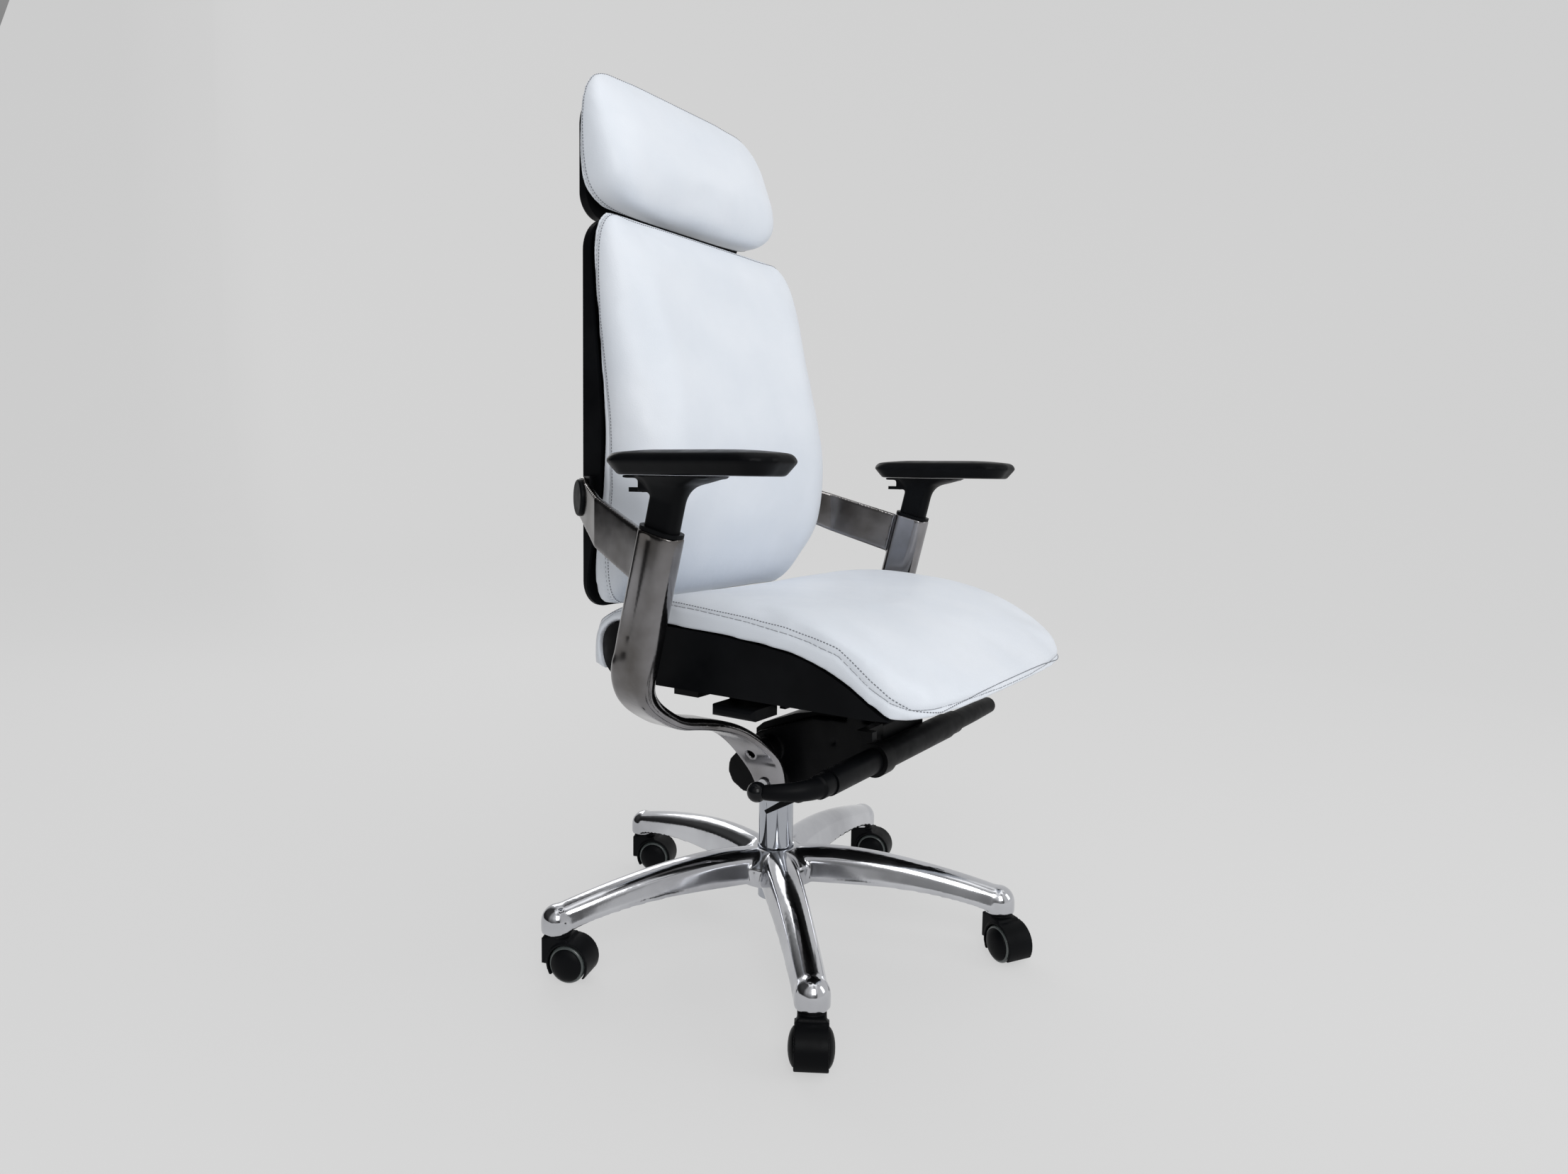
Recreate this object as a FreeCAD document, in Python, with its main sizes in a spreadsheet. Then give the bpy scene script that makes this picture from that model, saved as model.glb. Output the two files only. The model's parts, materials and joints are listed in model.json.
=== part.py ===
"""Swivel office chair: parametric model in millimetres.

The origin is on the floor under the column, +Z is up, and the chair faces -Y.
The sitter's right side is -X. Every driving size is a cell of the sheet "Sizes".
"""
import FreeCAD, Part

import math
import os

import Sketcher

Vector = FreeCAD.Vector
Placement = FreeCAD.Placement
Rotation = FreeCAD.Rotation
X_AXIS = Vector(1, 0, 0)
Y_AXIS = Vector(0, 1, 0)
Z_AXIS = Vector(0, 0, 1)
SIDES = (("right", -1), ("left", 1))

SIZES = {
    # star base
    "stem_circle": 320.0,
    "first_arm_angle": 149.4,
    "arm_count": 5.0,
    "boss_radius": 21.5,
    "boss_bottom": 60.0,
    "boss_height": 15.5,
    "base_rim": 6.0,
    "hub_radius": 58.0,
    "hub_bottom": 85.0,
    "hub_top": 131.0,
    "hub_lip": 31.0,
    # casters
    "wheel_radius": 25.0,
    "wheel_inner": 4.6,
    "wheel_outer": 27.0,
    "caster_trail": 22.0,
    "axle_radius": 3.0,
    "stem_radius": 5.5,
    "stem_top": 82.0,
    "stem_foot": 44.0,
    "hood_half_width": 20.0,
    "hood_front": 15.0,
    "hood_radius": 29.0,
    "hood_hollow": 26.2,
    "hood_top": 57.0,
    "hood_skirt": 9.0,
    "running_gap": 0.05,
    "free_gap": 0.3,
    # column
    "column_radius": 25.0,
    "column_wall": 3.0,
    "column_bottom": 56.0,
    "column_top": 208.0,
    "bush_bottom": 130.0,
    "cylinder_radius": 14.0,
    "cylinder_bore": 12.2,
    "cylinder_top": 290.0,
    "rod_radius": 5.0,
    "rod_top": 168.0,
    # mechanism
    "housing_half_width": 60.0,
    "hollow_half_width": 46.0,
    "cover_half_width": 47.0,
    "housing_bottom": 222.0,
    "pivot_y": -40.0,
    "pivot_z": 250.0,
    "pivot_radius": 8.0,
    "tilt_y": -160.0,
    "tilt_z": 367.0,
    "tilt_pin_radius": 5.0,
    "control_y": -215.0,
    "control_z": 318.0,
    "control_radius": 7.0,
    "control_tube_right": 243.0,
    "control_tube_left": 262.0,
    "mount_pad": 20.3,
    "side_hole_radius": 4.0,
    "side_hole_depth": 3.0,
    "side_hole_y": -128.0,
    "side_hole_z": 315.0,
    "ear_thickness": 12.0,
    "shaft_half_length": 95.0,
    "tilt_pin_half_length": 74.0,
    "control_cover_radius": 17.5,
    "control_sleeve_radius": 15.5,
    "spring_radius": 12.0,
    "spring_wire": 2.0,
    "spring_length": 100.0,
    "spring_pitch": 10.0,
    # seat
    "seat_half_width": 255.0,
    "seat_front": -362.0,
    "seat_rear": 155.0,
    "pan_inset": 8.0,
    "pan_bottom": 405.0,
    "pan_wall": 5.0,
    "carrier_bottom": 386.0,
    "carrier_plate": 6.0,
    "rail_x": 95.0,
    "rail_width": 14.0,
    "seat_corner": 64.0,
    "seat_front_bow": 17.0,
    # arms
    "tube_x": 320.0,
    "tube_top_y": -51.0,
    "tube_top_z": 600.0,
    "tube_lean": 13.8,
    "tube_depth": 57.0,
    "tube_width": 35.0,
    "blade_x": 86.0,
    "blade_thickness": 12.0,
    "post_depth": 44.4,
    "post_width": 22.4,
    "post_length": 136.0,
    "collar_height": 4.5,
    "post_corner": 9.0,
    "frame_bolt_y": -23.0,
    "frame_bolt_z": 291.0,
    "flute_radius": 12.0,
    "flute_length": 140.0,
    "bolt_radius": 5.5,
    "band_thickness": 8.0,
    "cap_radius": 24.0,
    "pad_length": 229.0,
    "pad_width": 90.0,
    "pad_y": -104.0,
    "pad_bottom": 665.0,
    # back and headrest
    "shell_half_width": 220.0,
    "shell_back": 169.0,
    "shell_bottom": 486.0,
    "shell_top": 1003.0,
    "rail_half_width": 25.0,
    "hinge_y": 236.0,
    "hinge_z": 1110.0,
    "hinge_pin_radius": 4.0,
}

doc = FreeCAD.newDocument("SwivelOfficeChair")
sheet = doc.addObject("Spreadsheet::Sheet", "Sizes")
pieces = {}


def fill_sheet():
    for row, (alias, number) in enumerate(SIZES.items(), start=1):
        sheet.set("A%d" % row, alias)
        sheet.set("B%d" % row, str(number))
        sheet.setAlias("B%d" % row, alias)
    doc.recompute()


def size(alias):
    """The number in a cell of the sheet."""
    return float(sheet.get(alias))


def cell(expression):
    """The number that an expression over the sheet gives."""
    return float(sheet.evalExpression(expression))


def keep(node, item):
    """Names an object as one sub-part of the chair."""
    item.Label = node
    pieces[node] = item
    return item


def along_x(x, y, z):
    """Placement that turns a local +Z axis onto +X."""
    return Placement(Vector(x, y, z), Rotation(Y_AXIS, 90))


def origin_plane(body, role):
    return [plane for plane in body.Origin.OriginFeatures if plane.Role == role][0]


def closed_sketch(body, role, corners):
    """Sketch of a closed polygon whose corners are pairs of sheet expressions."""
    sketch = body.newObject("Sketcher::SketchObject", body.Name + "_outline")
    sketch.AttachmentSupport = [(origin_plane(body, role), "")]
    sketch.MapMode = "FlatFace"
    places = [Vector(cell(u), cell(v), 0) for u, v in corners]
    count = len(places)
    for index, start in enumerate(places):
        sketch.addGeometry(Part.LineSegment(start, places[(index + 1) % count]), False)
    for index in range(count):
        sketch.addConstraint(Sketcher.Constraint("Coincident", index, 2, (index + 1) % count, 1))
    for index, (u, v) in enumerate(corners):
        for kind, expression in (("DistanceX", u), ("DistanceY", v)):
            constraint = Sketcher.Constraint(kind, -1, 1, index, 1, cell(expression))
            number = sketch.addConstraint(constraint)
            sketch.setExpression("Constraints[%d]" % number, expression)
    return sketch


def turned(name, profile, placement=None):
    """Body turned about its own Z axis from (radius, height) corners."""
    body = doc.addObject("PartDesign::Body", name)
    sketch = closed_sketch(body, "XZ_Plane", profile)
    turn = body.newObject("PartDesign::Revolution", name + "_turn")
    turn.Profile = sketch
    turn.ReferenceAxis = (sketch, ["V_Axis"])
    turn.Angle = 360
    if placement:
        body.Placement = placement
    return body


def side_plate(name, outline, width):
    """Body padded both ways from the YZ plane to a full width."""
    body = doc.addObject("PartDesign::Body", name)
    sketch = closed_sketch(body, "YZ_Plane", outline)
    pad = body.newObject("PartDesign::Pad", name + "_pad")
    pad.Profile = sketch
    pad.Midplane = True
    pad.setExpression("Length", width)
    return body


def cylinder(name, radius, height, placement):
    item = doc.addObject("Part::Cylinder", name)
    item.setExpression("Radius", radius)
    item.setExpression("Height", height)
    item.Placement = placement
    return item


def box(name, low, high):
    """Box between two corners, each three sheet expressions or numbers."""
    item = doc.addObject("Part::Box", name)
    for side, start, end in zip(("Length", "Width", "Height"), low, high):
        item.setExpression(side, "(%s) - (%s)" % (end, start))
    item.Placement = Placement(Vector(*[cell(str(value)) for value in low]), Rotation())
    return item


def fused(name, shapes):
    item = doc.addObject("Part::MultiFuse", name)
    item.Shapes = shapes
    item.Refine = True
    return item


def cut(name, base, tool):
    item = doc.addObject("Part::Cut", name)
    item.Base = base
    item.Tool = tool
    item.Refine = True
    return item


def grouped(name, shapes):
    item = doc.addObject("Part::Compound", name)
    item.Links = shapes
    return item


def feature(name, shape, placement=None):
    item = doc.addObject("Part::Feature", name)
    item.Shape = shape
    if placement:
        item.Placement = placement
    return item


def rounded_wire(centre, across, along, half_across, half_along, radius, low_radius=None):
    """Rectangle with round corners in the plane of two unit vectors.

    The corners on the low side of the second direction may have a radius of their own.
    """
    edges = []
    ends = []
    for side_a, side_b in ((1, 1), (-1, 1), (-1, -1), (1, -1)):
        bend = radius if side_b > 0 or low_radius is None else low_radius
        hub = centre + across * (side_a * (half_across - bend)) + along * (side_b * (half_along - bend))
        out_a = hub + across * (side_a * bend)
        out_b = hub + along * (side_b * bend)
        middle = hub + (across * side_a + along * side_b) * (bend * math.sqrt(0.5))
        first, last = (out_a, out_b) if side_a * side_b > 0 else (out_b, out_a)
        ends.append((first, last))
        edges.append(Part.Arc(first, middle, last).toShape())
    joined = []
    for index, edge in enumerate(edges):
        joined.append(edge)
        joined.append(Part.makeLine(ends[index][1], ends[(index + 1) % 4][0]))
    return Part.Wire(joined)


def smooth_loft(wires):
    """Solid through the sections; the low degree keeps the skin from overshooting them."""
    return Part.makeLoft(wires, True, False, False, 2)


def flat_prism(points, direction):
    """Solid swept from a closed polygon."""
    wire = Part.makePolygon([Vector(*point) for point in points] + [Vector(*points[0])])
    return Part.Face(wire).extrude(direction)


# ---------------------------------------------------------------- base and casters

def stem_place(index):
    """Centre of one caster socket, at floor height."""
    angle = math.radians(size("first_arm_angle") + index * 360 / size("arm_count"))
    return Vector(math.cos(angle), math.sin(angle), 0) * size("stem_circle")


# Distance from the column, ridge height, underside height and width of an arm.
ARM_STATIONS = (
    (22, 130, 88, 56),
    (90, 135, 89, 54),
    (160, 130, 89, 51),
    (230, 118, 83, 47),
    (290, 104, 71, 44),
    (318, 96.2, 61.4, 42),
)


def arm_section(distance, top, bottom, width):
    """Section across a base arm: steep sides that lean in to a broad round ridge."""
    half = width / 2
    ridge = 0.41 * width
    shoulder = top - 0.62 * ridge
    left = [Vector(distance, -half, bottom), Vector(distance, -half, bottom + size("base_rim")),
            Vector(distance, -ridge, shoulder)]
    right = [Vector(point.x, -point.y, point.z) for point in reversed(left)]
    edges = [Part.makeLine(a, b) for a, b in zip(left, left[1:])]
    edges.append(Part.Arc(left[-1], Vector(distance, 0, top), right[0]).toShape())
    edges += [Part.makeLine(a, b) for a, b in zip(right, right[1:])]
    edges.append(Part.makeLine(right[-1], left[0]))
    return Part.Wire(edges)


def arm_hollow(distance, top, bottom, width):
    """Section of the channel under a base arm."""
    half = width / 2 - 5
    roof = top - 7
    corners = [Vector(distance, -half, bottom - 2), Vector(distance, -0.6 * half, roof),
               Vector(distance, 0.6 * half, roof), Vector(distance, half, bottom - 2)]
    return Part.makePolygon(corners + [corners[0]])


def make_star_base():
    arm = smooth_loft([arm_section(*station) for station in ARM_STATIONS])
    channel = smooth_loft([arm_hollow(*station) for station in ARM_STATIONS[1:5]])
    boss = Part.makeCylinder(size("boss_radius"), size("boss_height"),
                             Vector(size("stem_circle"), 0, size("boss_bottom")))
    dome = Part.makeSphere(size("boss_radius"), Vector(size("stem_circle"), 0, 0), Z_AXIS, 0, 90)
    dome.translate(Vector(0, 0, size("boss_bottom") + size("boss_height")))
    rim_height = 0.58 * (size("hub_top") - size("hub_bottom"))
    hub_rim = Part.makeCylinder(size("hub_radius"), rim_height, Vector(0, 0, size("hub_bottom")))
    hub_cone = Part.makeCone(size("hub_radius"), size("hub_lip"),
                             size("hub_top") - size("hub_bottom") - rim_height,
                             Vector(0, 0, size("hub_bottom") + rim_height))
    casting = hub_rim.fuse(hub_cone)
    channels = []
    for index in range(int(size("arm_count"))):
        turn = size("first_arm_angle") + index * 360 / size("arm_count")
        for solid in (arm, boss, dome):
            turned_solid = solid.copy()
            turned_solid.rotate(Vector(), Z_AXIS, turn)
            casting = casting.fuse(turned_solid)
        hollow = channel.copy()
        hollow.rotate(Vector(), Z_AXIS, turn)
        channels.append(hollow)
    casting = casting.cut(channels)
    bores = [cylinder("column_bore", "Sizes.column_radius + Sizes.running_gap", "200",
                      Placement(Vector(0, 0, 0), Rotation()))]
    for index in range(int(size("arm_count"))):
        place = stem_place(index) + Vector(0, 0, size("boss_bottom") - 1)
        bores.append(cylinder("stem_bore_%d" % (index + 1), "Sizes.stem_radius + Sizes.running_gap",
                              "Sizes.stem_top - Sizes.boss_bottom + 2", Placement(place, Rotation())))
    solid = feature("star_casting", casting.removeSplitter())
    keep("star_base", cut("star_base", solid, fused("base_bores", bores)))


# Compass angle that each caster trails towards, in degrees.
CASTER_ANGLES = (-71.0, -149.0, -121.0, -75.0, -69.0)


def make_caster(index):
    tag = "_%d" % (index + 1)
    place = Placement(stem_place(index), Rotation(Z_AXIS, CASTER_ANGLES[index]))
    axle_line = Placement(Vector(size("caster_trail"), 0, size("wheel_radius")), Rotation(X_AXIS, 90))

    round_back = cylinder("hood_back" + tag, "Sizes.hood_radius", "2 * Sizes.hood_half_width",
                          Placement(Vector(size("caster_trail"), size("hood_half_width"),
                                           size("wheel_radius")), Rotation(X_AXIS, 90)))
    neck = box("hood_neck" + tag, ("-Sizes.hood_front", "3 - Sizes.hood_half_width", "22"),
               ("Sizes.caster_trail", "Sizes.hood_half_width - 3", "Sizes.hood_top"))
    crown = cylinder("hood_crown" + tag, "17", "Sizes.boss_bottom - Sizes.free_gap - Sizes.hood_top + 3",
                     Placement(Vector(0, 0, size("hood_top") - 3), Rotation()))
    tools = []
    for side in (-1, 1):
        start = side * (size("wheel_inner") - 0.4)
        pocket = Placement(Vector(size("caster_trail"), start, size("wheel_radius")),
                           Rotation(X_AXIS, -90 * side))
        tools.append(cylinder("wheel_pocket%s_%s" % (tag, "ab"[side > 0]), "Sizes.hood_hollow",
                              "Sizes.hood_half_width", pocket))
    tools.append(box("hood_open" + tag, ("-40", "-30", "-10"), ("80", "30", "Sizes.hood_skirt")))
    tools.append(cylinder("stem_hole" + tag, "Sizes.stem_radius", "40",
                          Placement(Vector(0, 0, size("stem_foot")), Rotation())))
    tools.append(cylinder("axle_hole" + tag, "Sizes.axle_radius", "60",
                          Placement(Vector(size("caster_trail"), 30, size("wheel_radius")),
                                    Rotation(X_AXIS, 90))))
    hood = cut("caster_hood" + tag, fused("hood_block" + tag, [round_back, neck, crown]),
               fused("hood_tools" + tag, tools))
    hood.Placement = place
    keep("caster_hood" + tag, hood)

    stem = cylinder("stem_pin" + tag, "Sizes.stem_radius", "Sizes.stem_top - Sizes.stem_foot",
                    Placement(Vector(0, 0, size("stem_foot")), Rotation()))
    axle = cylinder("axle_pin" + tag, "Sizes.axle_radius", "49",
                    Placement(Vector(size("caster_trail"), 24.5, size("wheel_radius")),
                              Rotation(X_AXIS, 90)))
    pins = grouped("caster_pins" + tag, [stem, axle])
    pins.Placement = place
    keep("caster_pins" + tag, pins)

    bore = "Sizes.axle_radius + Sizes.running_gap"
    profile = ((bore, "Sizes.wheel_inner"), ("Sizes.wheel_radius - 2", "Sizes.wheel_inner"),
               ("Sizes.wheel_radius", "Sizes.wheel_inner + 2"), ("Sizes.wheel_radius", "17"),
               ("Sizes.wheel_radius - 1", "20"), ("Sizes.wheel_radius - 6", "24.5"),
               ("0", "Sizes.wheel_outer"), ("0", "25"), (bore, "25"))
    for side_name, turn in (("right", 90), ("left", -90)):
        local = Placement(axle_line.Base, Rotation(X_AXIS, turn))
        keep("wheel_%s%s" % (side_name, tag),
             turned("wheel_%s%s" % (side_name, tag), profile, place.multiply(local)))


# ---------------------------------------------------------------- column

def make_column():
    outer = "Sizes.column_radius"
    inner = "Sizes.column_radius - Sizes.column_wall"
    rod_hole = "Sizes.rod_radius + Sizes.running_gap"
    keep("lift_column", turned("lift_column", (
        (rod_hole, "Sizes.column_bottom"), (outer, "Sizes.column_bottom"),
        (outer, "Sizes.column_top - 1"), ("Sizes.column_radius - 1", "Sizes.column_top"),
        (inner, "Sizes.column_top"), (inner, "Sizes.column_bottom + 4"),
        (rod_hole, "Sizes.column_bottom + 4"))))
    bush_bore = "Sizes.cylinder_radius + Sizes.running_gap"
    keep("column_bush", turned("column_bush", (
        (bush_bore, "Sizes.bush_bottom"), (inner, "Sizes.bush_bottom"), (inner, "Sizes.column_top"),
        ("Sizes.column_radius - 1.5", "Sizes.column_top"),
        ("Sizes.column_radius - 2.5", "Sizes.column_top + 2"),
        (bush_bore, "Sizes.column_top + 2"))))
    keep("piston_rod", turned("piston_rod", (
        ("0", "Sizes.column_bottom - 3.5"), ("9", "Sizes.column_bottom - 3.5"),
        ("9", "Sizes.column_bottom - Sizes.free_gap"),
        ("Sizes.rod_radius", "Sizes.column_bottom - Sizes.free_gap"), ("Sizes.rod_radius", "Sizes.rod_top"),
        ("Sizes.cylinder_bore - Sizes.running_gap", "Sizes.rod_top"),
        ("Sizes.cylinder_bore - Sizes.running_gap", "Sizes.rod_top + 9"), ("0", "Sizes.rod_top + 9"))))
    keep("gas_cylinder", turned("gas_cylinder", (
        (rod_hole, "Sizes.column_bottom + 8"), ("Sizes.cylinder_radius", "Sizes.column_bottom + 8"),
        ("Sizes.cylinder_radius", "Sizes.cylinder_top"), ("0", "Sizes.cylinder_top"),
        ("0", "Sizes.rod_top + 14"), ("Sizes.cylinder_bore", "Sizes.rod_top + 14"),
        ("Sizes.cylinder_bore", "Sizes.column_bottom + 12"), (rod_hole, "Sizes.column_bottom + 12"))))


# ---------------------------------------------------------------- mechanism

# Side outline of the housing: forward position and height.
HOUSING_OUTLINE = (
    ("18", "Sizes.housing_bottom"), ("36", "232"), ("44", "248"), ("41", "264"), ("24", "282"),
    ("-8", "312"), ("-95", "344"), ("-200", "350"), ("-205", "300"), ("-186", "280"),
    ("-76", "Sizes.housing_bottom"),
)
COVER_OUTLINE = (
    ("4", "301.5"), ("-8", "313"), ("-95", "345"), ("-198", "350.5"), ("-196", "355"),
    ("-110", "354"), ("-60", "342"), ("-8", "322"), ("4", "312"),
)
HOLLOW_OUTLINE = (
    ("-27", "Sizes.housing_bottom + 6"), ("-74", "Sizes.housing_bottom + 6"), ("-183", "288"),
    ("-192", "306"), ("-192", "370"), ("-27", "370"),
)


def make_housing():
    block = side_plate("housing_block", HOUSING_OUTLINE, "2 * Sizes.housing_half_width")
    added = [block]
    for tag, side in SIDES:
        start = size("housing_half_width") - 1
        for name, y, z, radius in (("low", size("pivot_y"), size("pivot_z"), "17"),
                                   ("high", -30, 290, "19")):
            added.append(cylinder("pad_%s_%s" % (name, tag), radius, "Sizes.mount_pad",
                                  along_x(start if side > 0 else -start - size("mount_pad"), y, z)))
        ear = sorted((side * (size("housing_half_width") - size("ear_thickness")),
                      side * size("housing_half_width")))
        added.append(box("ear_" + tag, (ear[0], "Sizes.tilt_y - 12", "335"),
                         (ear[1], "Sizes.tilt_y + 12", "Sizes.tilt_z + 10")))
    removed = [
        side_plate("housing_hollow", HOLLOW_OUTLINE, "2 * Sizes.hollow_half_width"),
        cylinder("socket_bore", "Sizes.cylinder_radius", "Sizes.cylinder_top - 200",
                 Placement(Vector(0, 0, 200), Rotation())),
        cylinder("pivot_bore", "Sizes.pivot_radius + Sizes.running_gap", "200",
                 along_x(-100, size("pivot_y"), size("pivot_z"))),
        cylinder("tilt_bore", "Sizes.tilt_pin_radius + Sizes.running_gap", "200",
                 along_x(-100, size("tilt_y"), size("tilt_z"))),
        cylinder("control_saddle", "Sizes.control_cover_radius", "200",
                 along_x(-100, size("control_y"), size("control_z"))),
    ]
    for tag, side in SIDES:
        floor = size("housing_half_width") - size("side_hole_depth")
        length = 2 * size("side_hole_depth")
        place = along_x(floor if side > 0 else -floor - length, size("side_hole_y"), size("side_hole_z"))
        removed.append(cylinder("side_hole_" + tag, "Sizes.side_hole_radius", "2 * Sizes.side_hole_depth", place))
    keep("mechanism_housing", cut("mechanism_housing", fused("housing_solid", added),
                                  fused("housing_cuts", removed)))
    keep("mechanism_cover", side_plate("mechanism_cover", COVER_OUTLINE, "2 * Sizes.cover_half_width"))


def make_springs():
    """Two compression springs side by side along the housing."""
    coils = []
    for tag, side in SIDES:
        spiral = doc.addObject("Part::Helix", "spring_path_" + tag)
        spiral.setExpression("Pitch", "Sizes.spring_pitch")
        spiral.setExpression("Height", "Sizes.spring_length")
        spiral.setExpression("Radius", "Sizes.spring_radius")
        wire = doc.addObject("Part::Circle", "spring_wire_" + tag)
        wire.setExpression("Radius", "Sizes.spring_wire")
        wire.Placement = Placement(Vector(size("spring_radius"), 0, 0), Rotation(X_AXIS, 90))
        coil = doc.addObject("Part::Sweep", "spring_coil_" + tag)
        coil.Sections = [wire]
        coil.Spine = (spiral, ["Edge1"])
        coil.Solid = True
        coil.Frenet = True
        coil.Placement = Placement(Vector(side * 26, -60, 305), Rotation(X_AXIS, 90))
        coils.append(coil)
    keep("tension_springs", grouped("tension_springs", coils))


def make_pivots():
    keep("pivot_shaft", cylinder("pivot_shaft", "Sizes.pivot_radius", "2 * Sizes.shaft_half_length",
                                 along_x(-size("shaft_half_length"), size("pivot_y"), size("pivot_z"))))
    keep("tilt_pin", cylinder("tilt_pin", "Sizes.tilt_pin_radius", "2 * Sizes.tilt_pin_half_length",
                              along_x(-size("tilt_pin_half_length"), size("tilt_y"), size("tilt_z"))))


def make_seat_carrier():
    bottom = "Sizes.carrier_bottom"
    top = "Sizes.carrier_bottom + Sizes.carrier_plate"
    added = [box("carrier_plate", ("-118", "-195", bottom), ("118", "105", top)),
             box("carrier_beam", ("-122", "50", "362"), ("122", "92", bottom))]
    for tag, side in SIDES:
        rail = sorted((side * (size("rail_x") - size("rail_width") / 2),
                       side * (size("rail_x") + size("rail_width") / 2)))
        added.append(box("rail_" + tag, (rail[0], "-190", top),
                         (rail[1], "100", "Sizes.pan_bottom - Sizes.free_gap")))
        lug = sorted((side * 63, side * 72))
        added.append(box("lug_" + tag, (lug[0], "Sizes.tilt_y - 16", "Sizes.tilt_z - 10"),
                         (lug[1], "Sizes.tilt_y + 16", bottom)))
    bore = cylinder("lug_bore", "Sizes.tilt_pin_radius", "200", along_x(-100, size("tilt_y"), size("tilt_z")))
    keep("seat_carrier", cut("seat_carrier", fused("carrier_solid", added), bore))


def control_turned(name, profile, start, side):
    """Body turned about the control tube, drawn outwards from a start position."""
    turn = Rotation(Y_AXIS, 90 * side)
    return turned(name, profile, Placement(Vector(start, size("control_y"), size("control_z")), turn))


def make_controls():
    tube = "Sizes.control_radius"
    fit = "Sizes.control_radius + Sizes.running_gap"
    keep("control_tube", cylinder("control_tube", tube, "Sizes.control_tube_right + Sizes.control_tube_left",
                                  along_x(-size("control_tube_right"), size("control_y"), size("control_z"))))
    cover = "Sizes.control_cover_radius"
    keep("control_cover", control_turned("control_cover", (
        (tube, "0"), (cover, "0"), (cover, "187"), (tube, "187")), -87, 1))

    ring = cylinder("clamp_ring", "21", "24", along_x(-112, size("control_y"), size("control_z")))
    ear = box("clamp_ear", ("-109", "-212", "330"), ("-97", "-190", "352"))
    foot = box("clamp_foot", ("-109", "-201", "338"), ("-55", "-190", "352"))
    hole = cylinder("clamp_hole", tube, "40", along_x(-120, size("control_y"), size("control_z")))
    nose = cut("clamp_body", fused("clamp_solid", [ring, ear, foot]), hole)
    clear = box("clamp_clear", ("-60", "-240", "290"), ("-20", "-150", "360"))
    keep("tube_clamp", cut("tube_clamp", nose, clear))

    sleeve = control_turned("height_sleeve_body", (
        (fit, "0"), ("Sizes.control_sleeve_radius", "0"), ("Sizes.control_sleeve_radius", "107"),
        (fit, "107")), -113, -1)
    blade_points = ((-219.8, -205, 306), (-219.8, -131, 264), (-219.8, -128, 268), (-219.8, -198, 316))
    blade = feature("paddle_blade", flat_prism(blade_points, Vector(20, 0, 0)))
    sleeve_bore = cylinder("sleeve_bore", fit, "120", along_x(-230, size("control_y"), size("control_z")))
    keep("height_paddle", cut("height_paddle", fused("paddle_solid", [sleeve, blade]), sleeve_bore))

    make_tension_handle()
    keep("tilt_lock_grip", control_turned("tilt_lock_grip", (
        (fit, "0"), ("16", "0"), ("16", "30"), ("13.8", "33"), ("13.4", "100"), ("12", "162"), ("8", "169"),
        ("0", "170"), ("0", "162.3"), (fit, "162.3")), 100.3, 1))


def make_tension_handle():
    """Ring on the tube end with a curved crank that carries a ball knob."""
    centre = Vector(-250, size("control_y"), size("control_z"))
    knob = Vector(-282, size("control_y") + 55, size("control_z") - 5)
    ring = Part.makeCylinder(14.0, 22, Vector(-220.5, centre.y, centre.z), Vector(-1, 0, 0))
    stub_end = Vector(-262, centre.y, centre.z)
    reach = knob - stub_end
    crank_dir = Vector(-0.2, 0.97, 0)
    crank_dir.normalize()
    sections = []
    for share, radius in ((0.0, 12.5), (0.35, 11.5), (0.7, 9.8), (1.0, 8.0)):
        swing = math.sin(share * math.pi / 2)
        point = Vector(stub_end.x + reach.x * swing + 22 * (1 - share), stub_end.y + reach.y * share ** 1.6,
                       stub_end.z + reach.z * share)
        normal = Vector(-1, 0, 0) * (1 - share) + crank_dir * share
        circle = Part.Circle(point, normal, radius)
        sections.append(Part.Wire(circle.toShape()))
    crank = smooth_loft(sections)
    bore = Part.makeCylinder(size("control_radius") + size("running_gap"), 23.3,
                             Vector(-220, centre.y, centre.z), Vector(-1, 0, 0))
    handle = ring.fuse(crank).cut(bore)
    ball = Part.makeSphere(11.5, knob)
    keep("tension_handle", feature("tension_handle", handle.cut(ball).removeSplitter()))
    keep("tension_knob", feature("tension_knob", ball))


# ---------------------------------------------------------------- seat

# Upper edge and rounded rear of the pan: forward position and height.
PAN_CURVE = (
    (60, 405), (100, 415), (118, 440), (103, 468), (62, 479), (5, 480), (-70, 477), (-140, 470.5),
    (-195, 461), (-230, 448), (-262, 431), (-290, 412), (-300, 405),
)
# Outer curve of the cushion from its lower rear edge over the top to the front edge.
CUSHION_CURVE = (
    (112, 412), (138, 416), (152, 426), (157, 441), (152, 459), (134, 479), (104, 494), (60, 508),
    (-40, 519), (-136, 515),
    (-227, 500), (-289, 472), (-330, 449), (-357, 432), (-362, 418), (-345, 408), (-299, 405.5),
)


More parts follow.
